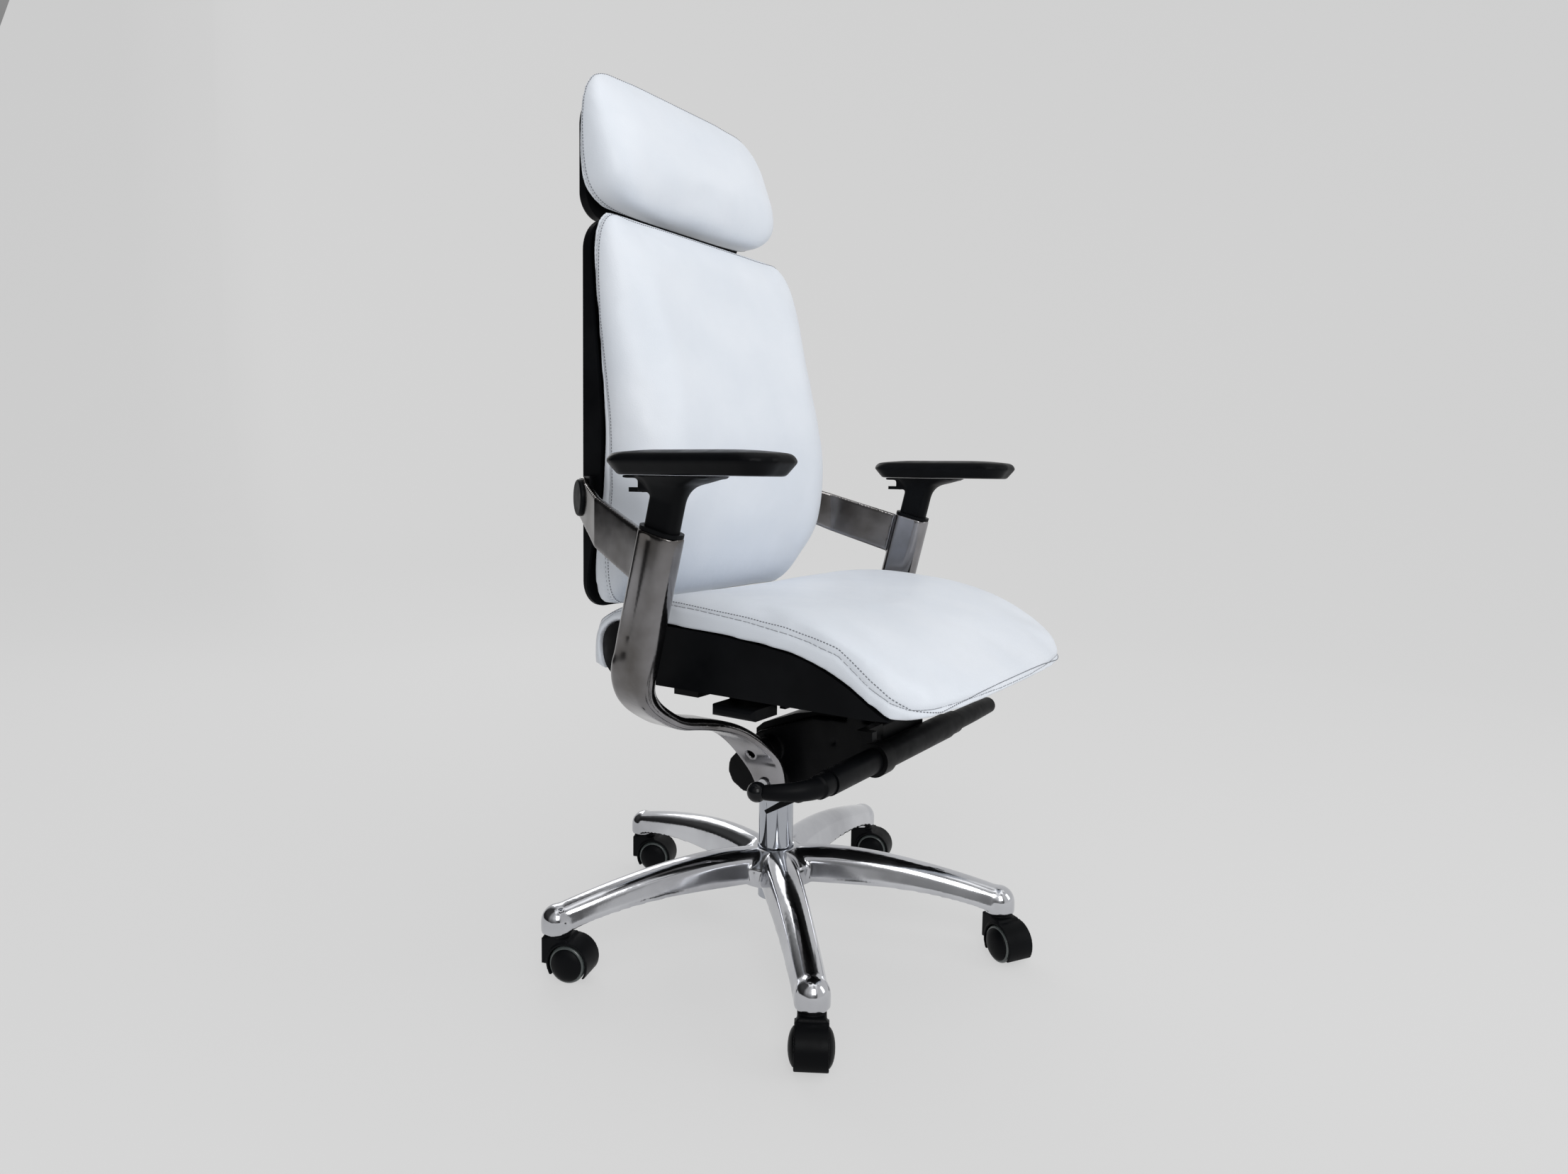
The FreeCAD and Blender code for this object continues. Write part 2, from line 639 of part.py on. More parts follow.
def seat_plan(inset, bottom, height):
    """Prism over the seat's plan: bowed front edge and round corners."""
    wide = size("seat_half_width") - inset
    rear = size("seat_rear") - inset
    front = size("seat_front") + inset
    shoulder = front + size("seat_front_bow")
    corner = size("seat_corner")
    dip = corner * (1 - math.sqrt(0.5))
    edges = []
    for side in (1, -1):
        edges.append(Part.Arc(Vector(side * (wide - corner), rear, 0), Vector(side * (wide - dip), rear - dip, 0),
                              Vector(side * wide, rear - corner, 0)).toShape())
        edges.append(Part.makeLine(Vector(side * wide, rear - corner, 0),
                                   Vector(side * wide, shoulder + corner, 0)))
        edges.append(Part.Arc(Vector(side * wide, shoulder + corner, 0),
                              Vector(side * (wide - dip), shoulder + dip, 0),
                              Vector(side * (wide - corner), shoulder, 0)).toShape())
    edges.append(Part.makeLine(Vector(wide - corner, rear, 0), Vector(corner - wide, rear, 0)))
    edges.append(Part.Arc(Vector(wide - corner, shoulder, 0), Vector(0, front, 0),
                          Vector(corner - wide, shoulder, 0)).toShape())
    wire = Part.Wire(Part.__sortEdges__(edges))
    prism = Part.Face(wire).extrude(Vector(0, 0, height))
    prism.translate(Vector(0, 0, bottom))
    return prism


def side_prism(curve, half_width):
    """Solid across the chair from a curve through (forward, height) points, closed by a line."""
    points = [Vector(-half_width, y, z) for y, z in curve]
    spline = Part.BSplineCurve()
    spline.interpolate(points)
    closing = Part.makeLine(points[-1], points[0])
    return Part.Face(Part.Wire([spline.toShape(), closing])).extrude(Vector(2 * half_width, 0, 0))


def make_seat():
    outer = side_prism(PAN_CURVE, 300).common(seat_plan(size("pan_inset"), size("pan_bottom"), 200))
    wall = size("pan_wall")
    floor = size("pan_bottom") + wall + 1
    hollow_points = ((-300, -268, floor), (-300, 58, floor), (-300, 98, 424), (-300, 111, 440),
                     (-300, 96, 466), (-300, 96, 520), (-300, -222, 520), (-300, -262, 426))
    hollow = flat_prism(hollow_points, Vector(600, 0, 0)).common(seat_plan(size("pan_inset") + wall, 380, 200))
    tray = outer.cut(hollow)
    for side in (-1, 1):
        inner = size("rail_x") + size("rail_width") / 2 + 0.5
        x_start = inner if side > 0 else -inner - 8
        guide = Part.makeBox(8, 250, 10.5, Vector(x_start, -180, size("pan_bottom") - 10))
        tray = tray.fuse(guide)
    for y_start in (-141, -66):
        lug = Part.makeBox(14, 8, 17.5, Vector(-197, y_start, size("pan_bottom") - 17))
        tray = tray.fuse(lug)
    tray = tray.cut(Part.makeCylinder(2.55, 100, Vector(-190, -150, 395), Y_AXIS))
    keep("seat_pan", feature("seat_pan", tray.removeSplitter()))

    foam = side_prism(CUSHION_CURVE, 300).common(seat_plan(0, 380, 200))
    lifted = tuple((y, z + 0.5) for y, z in PAN_CURVE)
    foam = foam.cut([side_prism(PAN_CURVE, 320), side_prism(lifted, 320)])
    solids = sorted(foam.Solids, key=lambda solid: solid.Volume)
    keep("seat_cushion", feature("seat_cushion", solids[-1]))


def make_slide_lever():
    paddle = Part.makeBox(50, 62, 13.5, Vector(-248, -130, 380))
    paddle = paddle.makeFillet(5.5, [edge for edge in paddle.Edges if edge.BoundBox.XMax < -247.9])
    web = Part.makeBox(12, 40, 6, Vector(-199, -119, 387))
    knuckle = Part.makeCylinder(5, 64, Vector(-190, -131, 395), Y_AXIS)
    pin = Part.makeCylinder(2.5, 82, Vector(-190, -140.5, 395), Y_AXIS)
    lever = paddle.fuse([web, knuckle, pin])
    keep("slide_lever", feature("slide_lever", lever.removeSplitter()))


# ---------------------------------------------------------------- arms

# Centre line and section of the aluminium arm frame on the +X side, from the top of the
# upright tube, round the bend under the seat, to the foot of the blade:
# x, y, z, turn of the section inwards, pitch of the section, depth, width, corner radius.
FRAME_STATIONS = (
    (320, -51, 600, 0, 13.8, 57, 35, 15.5),
    (320, -14, 450, 0, 13.8, 58, 35, 15.5),
    (316, -6, 422, 14, 12.0, 58, 31, 14.0),
    (304, -1, 403, 36, 9.0, 57, 26, 12.0),
    (286, 2, 387, 50, 6.0, 57, 21, 10.0),
    (266, 3, 374, 62, 4.0, 57, 18, 8.5),
    (240, 2, 361, 72, 2.0, 56, 16, 7.5),
    (205, 0, 352.5, 78, 0.0, 54, 15, 7.0),
    (170, -3, 344, 74, 0.0, 54, 15, 7.0),
    (140, -10, 333, 62, 0.0, 57, 14, 6.5),
    (114, -19, 315, 42, 0.0, 64, 13, 6.0),
    (93, -29, 291, 12, 0.0, 70, 12, 5.0),
    (86, -40, 268, 0, 0.0, 60, 12, 5.0),
    (86, -47, 250, 0, 0.0, 49, 12, 5.0),
    (86, -51, 239, 0, 0.0, 36, 12, 5.0),
)
# Centre line and height range of the band from the tube to the back: x, y, low, high.
BAND_STATIONS = ((322, -24, 536, 603), (282, 84, 574, 637), (236, 155, 608, 660))


def mirrored(shape, side):
    """A shape drawn on the +X side, mirrored for the -X side."""
    if side > 0:
        return shape
    return shape.mirror(Vector(), X_AXIS)


def tube_axes():
    """Unit vectors up the leaning arm tube and across it towards the back."""
    lean = math.radians(size("tube_lean"))
    return Vector(0, -math.sin(lean), math.cos(lean)), Vector(0, math.cos(lean), math.sin(lean))


def tube_point(distance):
    """Point on the tube's centre line, measured up from its top face."""
    up, _ = tube_axes()
    return Vector(size("tube_x"), size("tube_top_y"), size("tube_top_z")) + up * distance


def tube_prism(start, end, depth, width, radius):
    """Rounded bar along the tube's axis between two distances."""
    up, back = tube_axes()
    wire = rounded_wire(tube_point(start), X_AXIS, back, width / 2, depth / 2, radius)
    return Part.Face(wire).extrude(up * (end - start))


def post_bore(start, end):
    """Room for the post to slide in, a free gap wider all round."""
    gap = size("free_gap")
    return tube_prism(start, end, size("post_depth") + 2 * gap, size("post_width") + 2 * gap,
                      size("post_corner") + gap)


def frame_section(x, y, z, turn, pitch, depth, width, radius):
    turn = math.radians(turn)
    pitch = math.radians(pitch)
    across = Vector(math.cos(turn), 0, -math.sin(turn))
    along = Vector(0, math.cos(pitch), math.sin(pitch))
    return rounded_wire(Vector(x, y, z), across, along, width / 2, depth / 2, radius)


def band_normal(start, end):
    direction = Vector(end[0] - start[0], end[1] - start[1], 0)
    direction.normalize()
    return Vector(direction.y, -direction.x, 0)


def band_wire(station, normal):
    x, y, low, high = station
    half = normal * (size("band_thickness") / 2)
    corners = [Vector(x, y, low) - half, Vector(x, y, low) + half,
               Vector(x, y, high) + half, Vector(x, y, high) - half]
    return Part.makePolygon(corners + [corners[0]])


def cap_centre():
    """Middle of the band's end on its outer face, and the direction that it faces."""
    normal = band_normal(BAND_STATIONS[1], BAND_STATIONS[2])
    x, y, low, high = BAND_STATIONS[2]
    back = Vector(-normal.y, normal.x, 0)
    return Vector(x, y, (low + high) / 2) - back * 6 + normal * (size("band_thickness") / 2), normal


def make_arm_frame(name, side):
    sections = [frame_section(*station) for station in FRAME_STATIONS]
    frame = Part.makeLoft(sections[:2], True, True).fuse(smooth_loft(sections[1:]))
    start, crease, end = BAND_STATIONS
    first_normal = band_normal(start, crease)
    last_normal = band_normal(crease, end)
    middle_normal = first_normal + last_normal
    middle_normal.normalize()
    band = Part.makeLoft([band_wire(start, first_normal), band_wire(crease, middle_normal),
                          band_wire(end, last_normal)], True, True)
    centre, facing = cap_centre()
    disc = Part.makeCylinder(size("cap_radius") + 3, size("band_thickness"), centre, facing * -1)
    frame = frame.fuse([band, disc])
    frame = frame.cut(post_bore(-158, 5))
    up, back = tube_axes()
    flute_x = size("tube_width") / 2 + 9.3
    flute_foot = tube_point(-5 - size("flute_length")) + X_AXIS * flute_x + back * 8
    flute = Part.makeCylinder(size("flute_radius"), size("flute_length"), flute_foot, up)
    flute = flute.fuse(Part.makeSphere(size("flute_radius"), flute_foot, up)).removeSplitter()
    frame = frame.cut(flute)
    blade_foot = Vector(size("blade_x") - 20, 0, 0)
    for y, z, radius in ((size("pivot_y"), size("pivot_z"), size("pivot_radius")),
                         (size("frame_bolt_y"), size("frame_bolt_z"), size("bolt_radius"))):
        frame = frame.cut(Part.makeCylinder(radius, 40, blade_foot + Vector(0, y, z), X_AXIS))
    keep("arm_frame_" + name, feature("arm_frame_" + name, mirrored(frame, side)))

    collar = tube_prism(0, size("collar_height"), size("tube_depth") - 2, size("tube_width") - 2, 14.5)
    collar = collar.cut(post_bore(-5, 20))
    keep("arm_collar_" + name, feature("arm_collar_" + name, mirrored(collar, side)))


# Sections of the flared head of the arm post: height, centre, length and width.
FLARE_STATIONS = ((650, -64, 58, 30), (658, -73, 88, 42), (664.7, -80, 120, 56))


def level_wire(x, y, z, length, width, radius):
    return rounded_wire(Vector(x, y, z), X_AXIS, Y_AXIS, width / 2, length / 2, radius)


def make_arm_post(name, side):
    corner = size("post_corner")
    stem = tube_prism(-size("post_length"), 39, size("post_depth"), size("post_width"), corner)
    up, back = tube_axes()
    neck = rounded_wire(tube_point(38), X_AXIS, back, size("post_width") / 2, size("post_depth") / 2, corner)
    wires = [neck]
    for z, y, length, width in FLARE_STATIONS:
        wires.append(level_wire(size("tube_x"), y, z, length, width, width / 2.3))
    stand = Part.makeBox(44, 118, 3.4, Vector(size("tube_x") - 22, -128, size("pad_bottom") - 3.7))
    post = stem.fuse([smooth_loft(wires), stand])
    for x_start in (size("tube_x") - 12.5, size("tube_x") + 9.5):
        post = post.fuse(Part.makeBox(3, 17, 18, Vector(x_start, -42, 645)))
    post = post.cut(Part.makeCylinder(1.55, 40, Vector(size("tube_x") - 20, -31, 648), X_AXIS))
    keep("arm_post_" + name, feature("arm_post_" + name, mirrored(post.removeSplitter(), side)))

    plate = Part.makeBox(18, 19, 5.2, Vector(size("tube_x") - 9, -29, 645.6))
    knuckle = Part.makeCylinder(2.6, 18, Vector(size("tube_x") - 9, -31, 648), X_AXIS)
    pin = Part.makeCylinder(1.5, 24, Vector(size("tube_x") - 12, -31, 648), X_AXIS)
    paddle = plate.fuse([knuckle, pin]).removeSplitter()
    keep("arm_paddle_" + name, feature("arm_paddle_" + name, mirrored(paddle, side)))


def make_arm_pad(name, side):
    x = size("tube_x")
    y = size("pad_y")
    length = size("pad_length")
    width = size("pad_width")
    bottom = size("pad_bottom")
    lower = Part.makeLoft([level_wire(x, y, bottom, length - 24, width - 24, 24),
                           level_wire(x, y, bottom + 15, length, width, 34)], True, True)
    upper = smooth_loft([level_wire(x, y, bottom + 15, length, width, 34),
                         level_wire(x, y, bottom + 21, length - 4, width - 5, 34),
                         level_wire(x, y, bottom + 26, length - 40, width - 26, 30),
                         level_wire(x, y, bottom + 28, length - 110, width - 56, 16)])
    keep("arm_pad_" + name, feature("arm_pad_" + name, mirrored(lower.fuse(upper).removeSplitter(), side)))


def make_arm_fasteners():
    bolts = []
    caps = []
    brackets = []
    centre, facing = cap_centre()
    across = Vector(-facing.y, facing.x, 0)
    inner = centre - facing * (size("band_thickness") + 0.2)
    wedge_points = (Vector(220.2, 147, 0), Vector(220.2, 168, 0), inner + across * 16, inner - across * 18)
    wedge = flat_prism([(point.x, point.y, 614) for point in wedge_points], Vector(0, 0, 48))
    for name, side in SIDES:
        bolt_place = Vector(size("blade_x") - 6, size("frame_bolt_y"), size("frame_bolt_z"))
        shank = Part.makeCylinder(size("bolt_radius"), 8, bolt_place, X_AXIS)
        socket = Part.makeCylinder(2.6, 4, bolt_place + X_AXIS * 4, X_AXIS)
        bolts.append(feature("frame_bolt_" + name, mirrored(shank.cut(socket), side)))
        disc = Part.makeCylinder(size("cap_radius"), 4.5, centre, facing)
        disc = disc.makeFillet(3.0, [edge for edge in disc.Edges
                                     if (edge.CenterOfMass - centre).dot(facing) > 4])
        caps.append(feature("cap_" + name, mirrored(disc, side)))
        brackets.append(feature("bracket_" + name, mirrored(wedge, side)))
    keep("frame_bolts", grouped("frame_bolts", bolts))
    keep("pivot_caps", grouped("pivot_caps", caps))
    keep("back_brackets", grouped("back_brackets", brackets))


# ---------------------------------------------------------------- back and headrest

# Front surface of the back shell: forward position and height.
SHELL_CURVE = (
    (164, 486), (160, 540), (147, 600), (138, 670), (138, 750), (145, 820), (155, 910), (161, 1003),
)
# Back cushion sections: height, half width, front and rear position.
BACK_SECTIONS = (
    (486, 184, 134, 158), (495, 206, 118, 160), (515, 215, 96, 160), (545, 220, 73, 157),
    (584, 223, 50, 149), (630, 224, 41, 141), (676, 224, 39, 136.5), (735, 224, 45, 135.5),
    (789, 224, 56, 140), (850, 224, 73, 146.5), (916, 223, 94, 154), (970, 220, 115, 158),
    (1000, 208, 132, 159.5), (1014, 176, 146, 160),
)
# Headrest cushion sections: height, half width, front and rear position.
HEADREST_SECTIONS = (
    (1021, 150, 148, 196), (1030, 176, 134, 199), (1055, 197, 126, 201), (1080, 201, 129, 202),
    (1130, 201, 148, 203), (1170, 195, 167, 204), (1200, 176, 185, 205), (1212, 140, 193, 205),
    (1218, 96, 198, 204.5),
)


def cushion_wire(z, half_width, front, rear, front_radius, rear_radius):
    """Level section of a cushion: large round corners in front, small ones behind."""
    depth = rear - front
    centre = Vector(0, (front + rear) / 2, z)
    return rounded_wire(centre, X_AXIS, Y_AXIS, half_width, depth / 2,
                        min(rear_radius, 0.3 * depth), min(front_radius, 0.62 * depth))


def front_prism(half_width, bottom, top, low_radius, high_radius):
    """Prism along Y over a front outline with round corners."""
    centre = Vector(0, 0, (bottom + top) / 2)
    wire = rounded_wire(centre, X_AXIS, Z_AXIS, half_width, (top - bottom) / 2, high_radius, low_radius)
    return Part.Face(wire).extrude(Vector(0, 400, 0))


def shell_side(front_shift, back, low, high):
    """Solid across the chair between the shell's front curve and a flat back."""
    curve = [Vector(-300, y + front_shift, z) for y, z in SHELL_CURVE]
    spline = Part.BSplineCurve()
    spline.interpolate(curve)
    corners = [curve[-1], Vector(-300, back, curve[-1].z), Vector(-300, back, curve[0].z), curve[0]]
    lines = [Part.makeLine(a, b) for a, b in zip(corners, corners[1:])]
    solid = Part.Face(Part.Wire([spline.toShape()] + lines)).extrude(Vector(600, 0, 0))
    return solid.common(front_prism(size("shell_half_width"), low, high, 36, 48))


def make_back():
    back = size("shell_back")
    outer = shell_side(0, back, size("shell_bottom"), size("shell_top"))
    hollow = shell_side(-30, back - 4, size("shell_bottom"), size("shell_top"))
    hollow = hollow.common(front_prism(size("shell_half_width") - 5, size("shell_bottom") + 5,
                                       size("shell_top") - 5, 32, 44))
    shell = outer.cut(hollow)
    rail = size("rail_half_width")
    guide = Part.makeBox(2 * rail + 22, 20, 130, Vector(-rail - 11, back - 0.5, 770))
    slot = Part.makeBox(2 * rail + 0.6, 8.6, 140, Vector(-rail - 0.3, back + 2.7, 765))
    shell = shell.fuse(guide).cut(slot)
    keep("back_shell", feature("back_shell", shell.removeSplitter()))
    foam = smooth_loft([cushion_wire(z, half, front, rear, 48, 8)
                        for z, half, front, rear in BACK_SECTIONS])
    keep("back_cushion", feature("back_cushion", foam))


def make_headrest():
    back = "Sizes.shell_back"
    bar = side_plate("rail_bar", (
        (back + " + 3", "785"), (back + " + 11", "785"), (back + " + 11", "925"),
        ("Sizes.hinge_y + 2", "1003"), ("Sizes.hinge_y + 2", "Sizes.hinge_z - 4"),
        ("Sizes.hinge_y - 6", "Sizes.hinge_z - 4"), ("Sizes.hinge_y - 6", "1007"),
        (back + " + 3", "929")), "2 * Sizes.rail_half_width")
    knuckle = cylinder("rail_knuckle", "8.5", "2 * Sizes.rail_half_width",
                       along_x(-size("rail_half_width"), size("hinge_y"), size("hinge_z")))
    bore = cylinder("rail_bore", "Sizes.hinge_pin_radius + Sizes.running_gap", "200",
                    along_x(-100, size("hinge_y"), size("hinge_z")))
    keep("headrest_rail", cut("headrest_rail", fused("rail_solid", [bar, knuckle]), bore))

    plate = front_prism(176, 1013, 1194, 34, 60)
    plate = plate.common(Part.makeBox(500, 16, 400, Vector(-250, 206, 900)))
    plate = plate.makeFillet(6.0, [edge for edge in plate.Edges if edge.BoundBox.YMin > 221.9])
    for side in (-1, 1):
        x_start = 26 if side > 0 else -35
        plate = plate.fuse(Part.makeBox(9, 26, 20, Vector(x_start, 220, size("hinge_z") - 10)))
    plate = plate.cut(Part.makeCylinder(size("hinge_pin_radius"), 200,
                                        Vector(-100, size("hinge_y"), size("hinge_z")), X_AXIS))
    keep("headrest_shell", feature("headrest_shell", plate.removeSplitter()))
    keep("headrest_pin", cylinder("headrest_pin", "Sizes.hinge_pin_radius", "2 * 37",
                                  along_x(-37, size("hinge_y"), size("hinge_z"))))
    foam = smooth_loft([cushion_wire(z, half, front, rear, 44, 8)
                        for z, half, front, rear in HEADREST_SECTIONS])
    keep("headrest_cushion", feature("headrest_cushion", foam))


# ---------------------------------------------------------------- build and export

def build():
    fill_sheet()
    make_star_base()
    for index in range(int(size("arm_count"))):
        make_caster(index)
    make_column()
    make_housing()
    make_springs()
    make_pivots()
    make_seat_carrier()
    make_controls()
    make_seat()
    make_slide_lever()
    for name, side in SIDES:
        make_arm_frame(name, side)
        make_arm_post(name, side)
        make_arm_pad(name, side)
    make_arm_fasteners()
    make_back()
    make_headrest()
    doc.recompute()


def check():
    for item in doc.Objects:
        if "Invalid" in item.State or "Error" in item.State:
            raise RuntimeError("failed object: %s %s" % (item.Label, item.State))
    for node, item in pieces.items():
        if item.Shape.isNull() or not item.Shape.isValid() or not item.Shape.Solids:
            raise RuntimeError("bad shape: " + node)


def export():
    os.makedirs("parts", exist_ok=True)
    for node, item in sorted(pieces.items()):
        item.Shape.exportStep("parts/%s.step" % node)
    print("%d nodes written" % len(pieces))


build()
check()
export()
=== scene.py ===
"""Swivel office chair: the looks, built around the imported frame. Metres, +Z up, chair faces -Y."""

import json
import math

import bmesh
import bpy
import numpy as np
from mathutils import Matrix, Vector
from mathutils.bvhtree import BVHTree
from mathutils.kdtree import KDTree


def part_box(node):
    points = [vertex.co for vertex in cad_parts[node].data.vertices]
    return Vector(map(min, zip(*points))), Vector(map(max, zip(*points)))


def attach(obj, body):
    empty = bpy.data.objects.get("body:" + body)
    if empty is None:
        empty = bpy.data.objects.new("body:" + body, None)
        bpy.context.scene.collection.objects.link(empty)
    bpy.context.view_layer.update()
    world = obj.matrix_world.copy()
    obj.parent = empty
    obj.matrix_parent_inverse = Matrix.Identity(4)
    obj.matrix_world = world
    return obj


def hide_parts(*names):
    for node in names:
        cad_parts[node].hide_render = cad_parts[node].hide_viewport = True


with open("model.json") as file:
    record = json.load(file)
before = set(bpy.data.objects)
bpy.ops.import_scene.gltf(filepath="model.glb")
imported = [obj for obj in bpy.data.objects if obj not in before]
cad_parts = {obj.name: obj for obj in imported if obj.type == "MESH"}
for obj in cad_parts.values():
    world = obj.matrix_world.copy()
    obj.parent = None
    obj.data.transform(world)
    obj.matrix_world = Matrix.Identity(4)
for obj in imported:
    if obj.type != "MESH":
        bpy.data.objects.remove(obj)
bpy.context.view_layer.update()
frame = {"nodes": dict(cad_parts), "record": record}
SIDES = (("right", -1), ("left", 1))
MM = 0.001


# ---------------------------------------------------------------- materials
# Pattern scales are in repeats per metre and bump heights in metres.

class Shader:
    """A material under construction: a Principled surface and helpers that wire nodes to it."""

    def __init__(self, name, color, roughness, metallic=0.0):
        self.material = bpy.data.materials.new(name)
        self.material.use_nodes = True
        self.tree = self.material.node_tree
        self.surface = self.tree.nodes["Principled BSDF"]
        self.surface.inputs["Base Color"].default_value = (*color, 1)
        self.surface.inputs["Roughness"].default_value = roughness
        self.surface.inputs["Metallic"].default_value = metallic
        self.place = self.tree.nodes.new("ShaderNodeTexCoord").outputs["Object"]

    def node(self, kind, **inputs):
        item = self.tree.nodes.new(kind)
        for key, value in inputs.items():
            item.inputs[key.replace("_", " ")].default_value = value
        return item

    def noise(self, scale, detail=3.0, stretch=None):
        item = self.node("ShaderNodeTexNoise", Scale=scale, Detail=detail)
        source = self.place
        if stretch:
            mapping = self.node("ShaderNodeMapping", Scale=stretch)
            self.tree.links.new(source, mapping.inputs["Vector"])
            source = mapping.outputs["Vector"]
        self.tree.links.new(source, item.inputs["Vector"])
        return item.outputs["Fac"]

    def cells(self, scale):
        item = self.node("ShaderNodeTexVoronoi", Scale=scale)
        item.feature = "SMOOTH_F1"
        self.tree.links.new(self.place, item.inputs["Vector"])
        return item.outputs["Distance"]

    def spread(self, source, low, high, start=0.3, end=0.7):
        """Maps a 0 to 1 pattern onto a range of numbers."""
        item = self.node("ShaderNodeMapRange")
        for key, value in (("From Min", start), ("From Max", end), ("To Min", low), ("To Max", high)):
            item.inputs[key].default_value = value
        self.tree.links.new(source, item.inputs["Value"])
        return item.outputs["Result"]

    def rough(self, source, low, high):
        self.tree.links.new(self.spread(source, low, high), self.surface.inputs["Roughness"])

    def tint(self, source, first, second, start=0.35, end=0.65):
        ramp = self.tree.nodes.new("ShaderNodeValToRGB")
        ramp.color_ramp.elements[0].position = start
        ramp.color_ramp.elements[0].color = (*first, 1)
        ramp.color_ramp.elements[1].position = end
        ramp.color_ramp.elements[1].color = (*second, 1)
        self.tree.links.new(source, ramp.inputs["Fac"])
        self.tree.links.new(ramp.outputs["Color"], self.surface.inputs["Base Color"])

    def bump(self, layers, strength=1.0):
        """Stacks height patterns: pairs of a source and its height in metres."""
        last = None
        for source, height in layers:
            item = self.node("ShaderNodeBump", Strength=strength, Distance=height)
            self.tree.links.new(source, item.inputs["Height"])
            if last:
                self.tree.links.new(last, item.inputs["Normal"])
            last = item.outputs["Normal"]
        self.tree.links.new(last, self.surface.inputs["Normal"])

    def set(self, name, value):
        self.surface.inputs[name].default_value = value
        return self


def leather():
    shader = Shader("white_leather", (0.80, 0.84, 0.89), 0.42)
    shader.tint(shader.noise(9.0), (0.74, 0.785, 0.85), (0.78, 0.82, 0.88))
    shader.rough(shader.noise(40.0), 0.38, 0.50)
    shader.bump(((shader.cells(900.0), 0.00022), (shader.noise(2200.0), 0.00006),
                 (shader.noise(55.0, 2.0), 0.0006)), 0.55)
    shader.set("Sheen Weight", 0.08).set("Specular IOR Level", 0.42)
    return shader.material


def black_plastic(name="black_plastic", roughness=0.42, grain=0.00006):
    shader = Shader(name, (0.0035, 0.0038, 0.0046), roughness)
    shader.tint(shader.noise(14.0), (0.0025, 0.0028, 0.0035), (0.0045, 0.005, 0.006))
    shader.rough(shader.noise(60.0), roughness - 0.06, roughness + 0.08)
    shader.set("Specular IOR Level", 0.07)
    shader.bump(((shader.noise(1500.0), grain), (shader.noise(22.0), 0.0003)), 0.5)
    return shader.material


def gloss_black():
    shader = Shader("gloss_black", (0.004, 0.0044, 0.0055), 0.20)
    shader.rough(shader.noise(30.0), 0.16, 0.28)
    shader.set("Specular IOR Level", 0.2)
    shader.bump(((shader.noise(18.0), 0.0002),), 0.4)
    return shader.material


def black_metal():
    shader = Shader("black_metal", (0.0035, 0.0037, 0.0043), 0.42)
    shader.set("Specular IOR Level", 0.10)
    shader.rough(shader.noise(45.0), 0.34, 0.52)
    shader.bump(((shader.noise(700.0, 4.0), 0.00018), (shader.noise(25.0), 0.0003)), 0.6)
    return shader.material


def polished(name, dark, light, smoothest, roughest):
    """Hand-polished casting: cloudy tone, a slightly wavy face and fine polishing marks."""
    shader = Shader(name, light, smoothest, 1.0)
    shader.tint(shader.noise(7.0, 5.0), dark, light)
    shader.rough(shader.noise(16.0, 6.0), smoothest, roughest)
    shader.bump(((shader.noise(14.0, 2.0), 0.0009), (shader.noise(420.0, 2.0, (1, 1, 0.12)), 0.000012)), 0.6)
    return shader.material


def chrome():
    shader = Shader("chrome", (0.46, 0.48, 0.52), 0.05, 1.0)
    shader.rough(shader.noise(30.0), 0.035, 0.09)
    shader.bump(((shader.noise(10.0, 1.0), 0.00006),), 0.4)
    return shader.material


def steel():
    shader = Shader("steel", (0.52, 0.53, 0.55), 0.3, 1.0)
    shader.rough(shader.noise(120.0, 4.0, (1, 1, 8)), 0.22, 0.42)
    shader.bump(((shader.noise(900.0, 2.0, (1, 1, 12)), 0.00002),), 0.5)
    return shader.material


def tread():
    shader = Shader("wheel_tread", (0.055, 0.066, 0.066), 0.22)
    shader.tint(shader.noise(35.0), (0.045, 0.055, 0.055), (0.075, 0.088, 0.086))
    shader.rough(shader.noise(90.0), 0.18, 0.36)
    shader.bump(((shader.noise(260.0), 0.00008),), 0.5)
    shader.set("Coat Weight", 0.35)
    return shader.material


def thread(name, color):
    shader = Shader(name, color, 0.6)
    shader.tint(shader.noise(900.0), tuple(0.85 * part for part in color), color)
    shader.bump(((shader.noise(2600.0), 0.0001),), 0.6)
    return shader.material


MATERIALS = {
    "white_leather": leather(),
    "black_plastic": black_plastic(),
    "pad_black": black_plastic("pad_black", 0.36, 0.00004),
    "gloss_black": gloss_black(),
    "black_metal": black_metal(),
    "polished_aluminium": polished("polished_aluminium", (0.46, 0.465, 0.49), (0.66, 0.67, 0.70), 0.07, 0.17),
    "arm_metal": polished("arm_metal", (0.12, 0.112, 0.106), (0.34, 0.335, 0.35), 0.10, 0.24),
    "chrome": chrome(),
    "steel": steel(),
    "wheel_tread": tread(),
}
STITCH_THREAD = thread("stitch_thread", (0.17, 0.18, 0.205))
SEAM_SHADOW = thread("seam_shadow", (0.34, 0.36, 0.40))


# ---------------------------------------------------------------- mesh helpers

# Closest distance at which points of a CAD mesh stay apart.
WELD_DISTANCE = 0.00002
# Share of the way to the middle of its neighbours that one round of smoothing moves a point.
SMOOTHING_SHARE = 0.5


def add_object(name, mesh):
    item = bpy.data.objects.new(name, mesh)
    bpy.context.scene.collection.objects.link(item)
    return item


def object_from(name, work):
    """Object made of a finished bmesh."""
    data = bpy.data.meshes.new(name)
    work.to_mesh(data)
    work.free()
    return add_object(name, data)


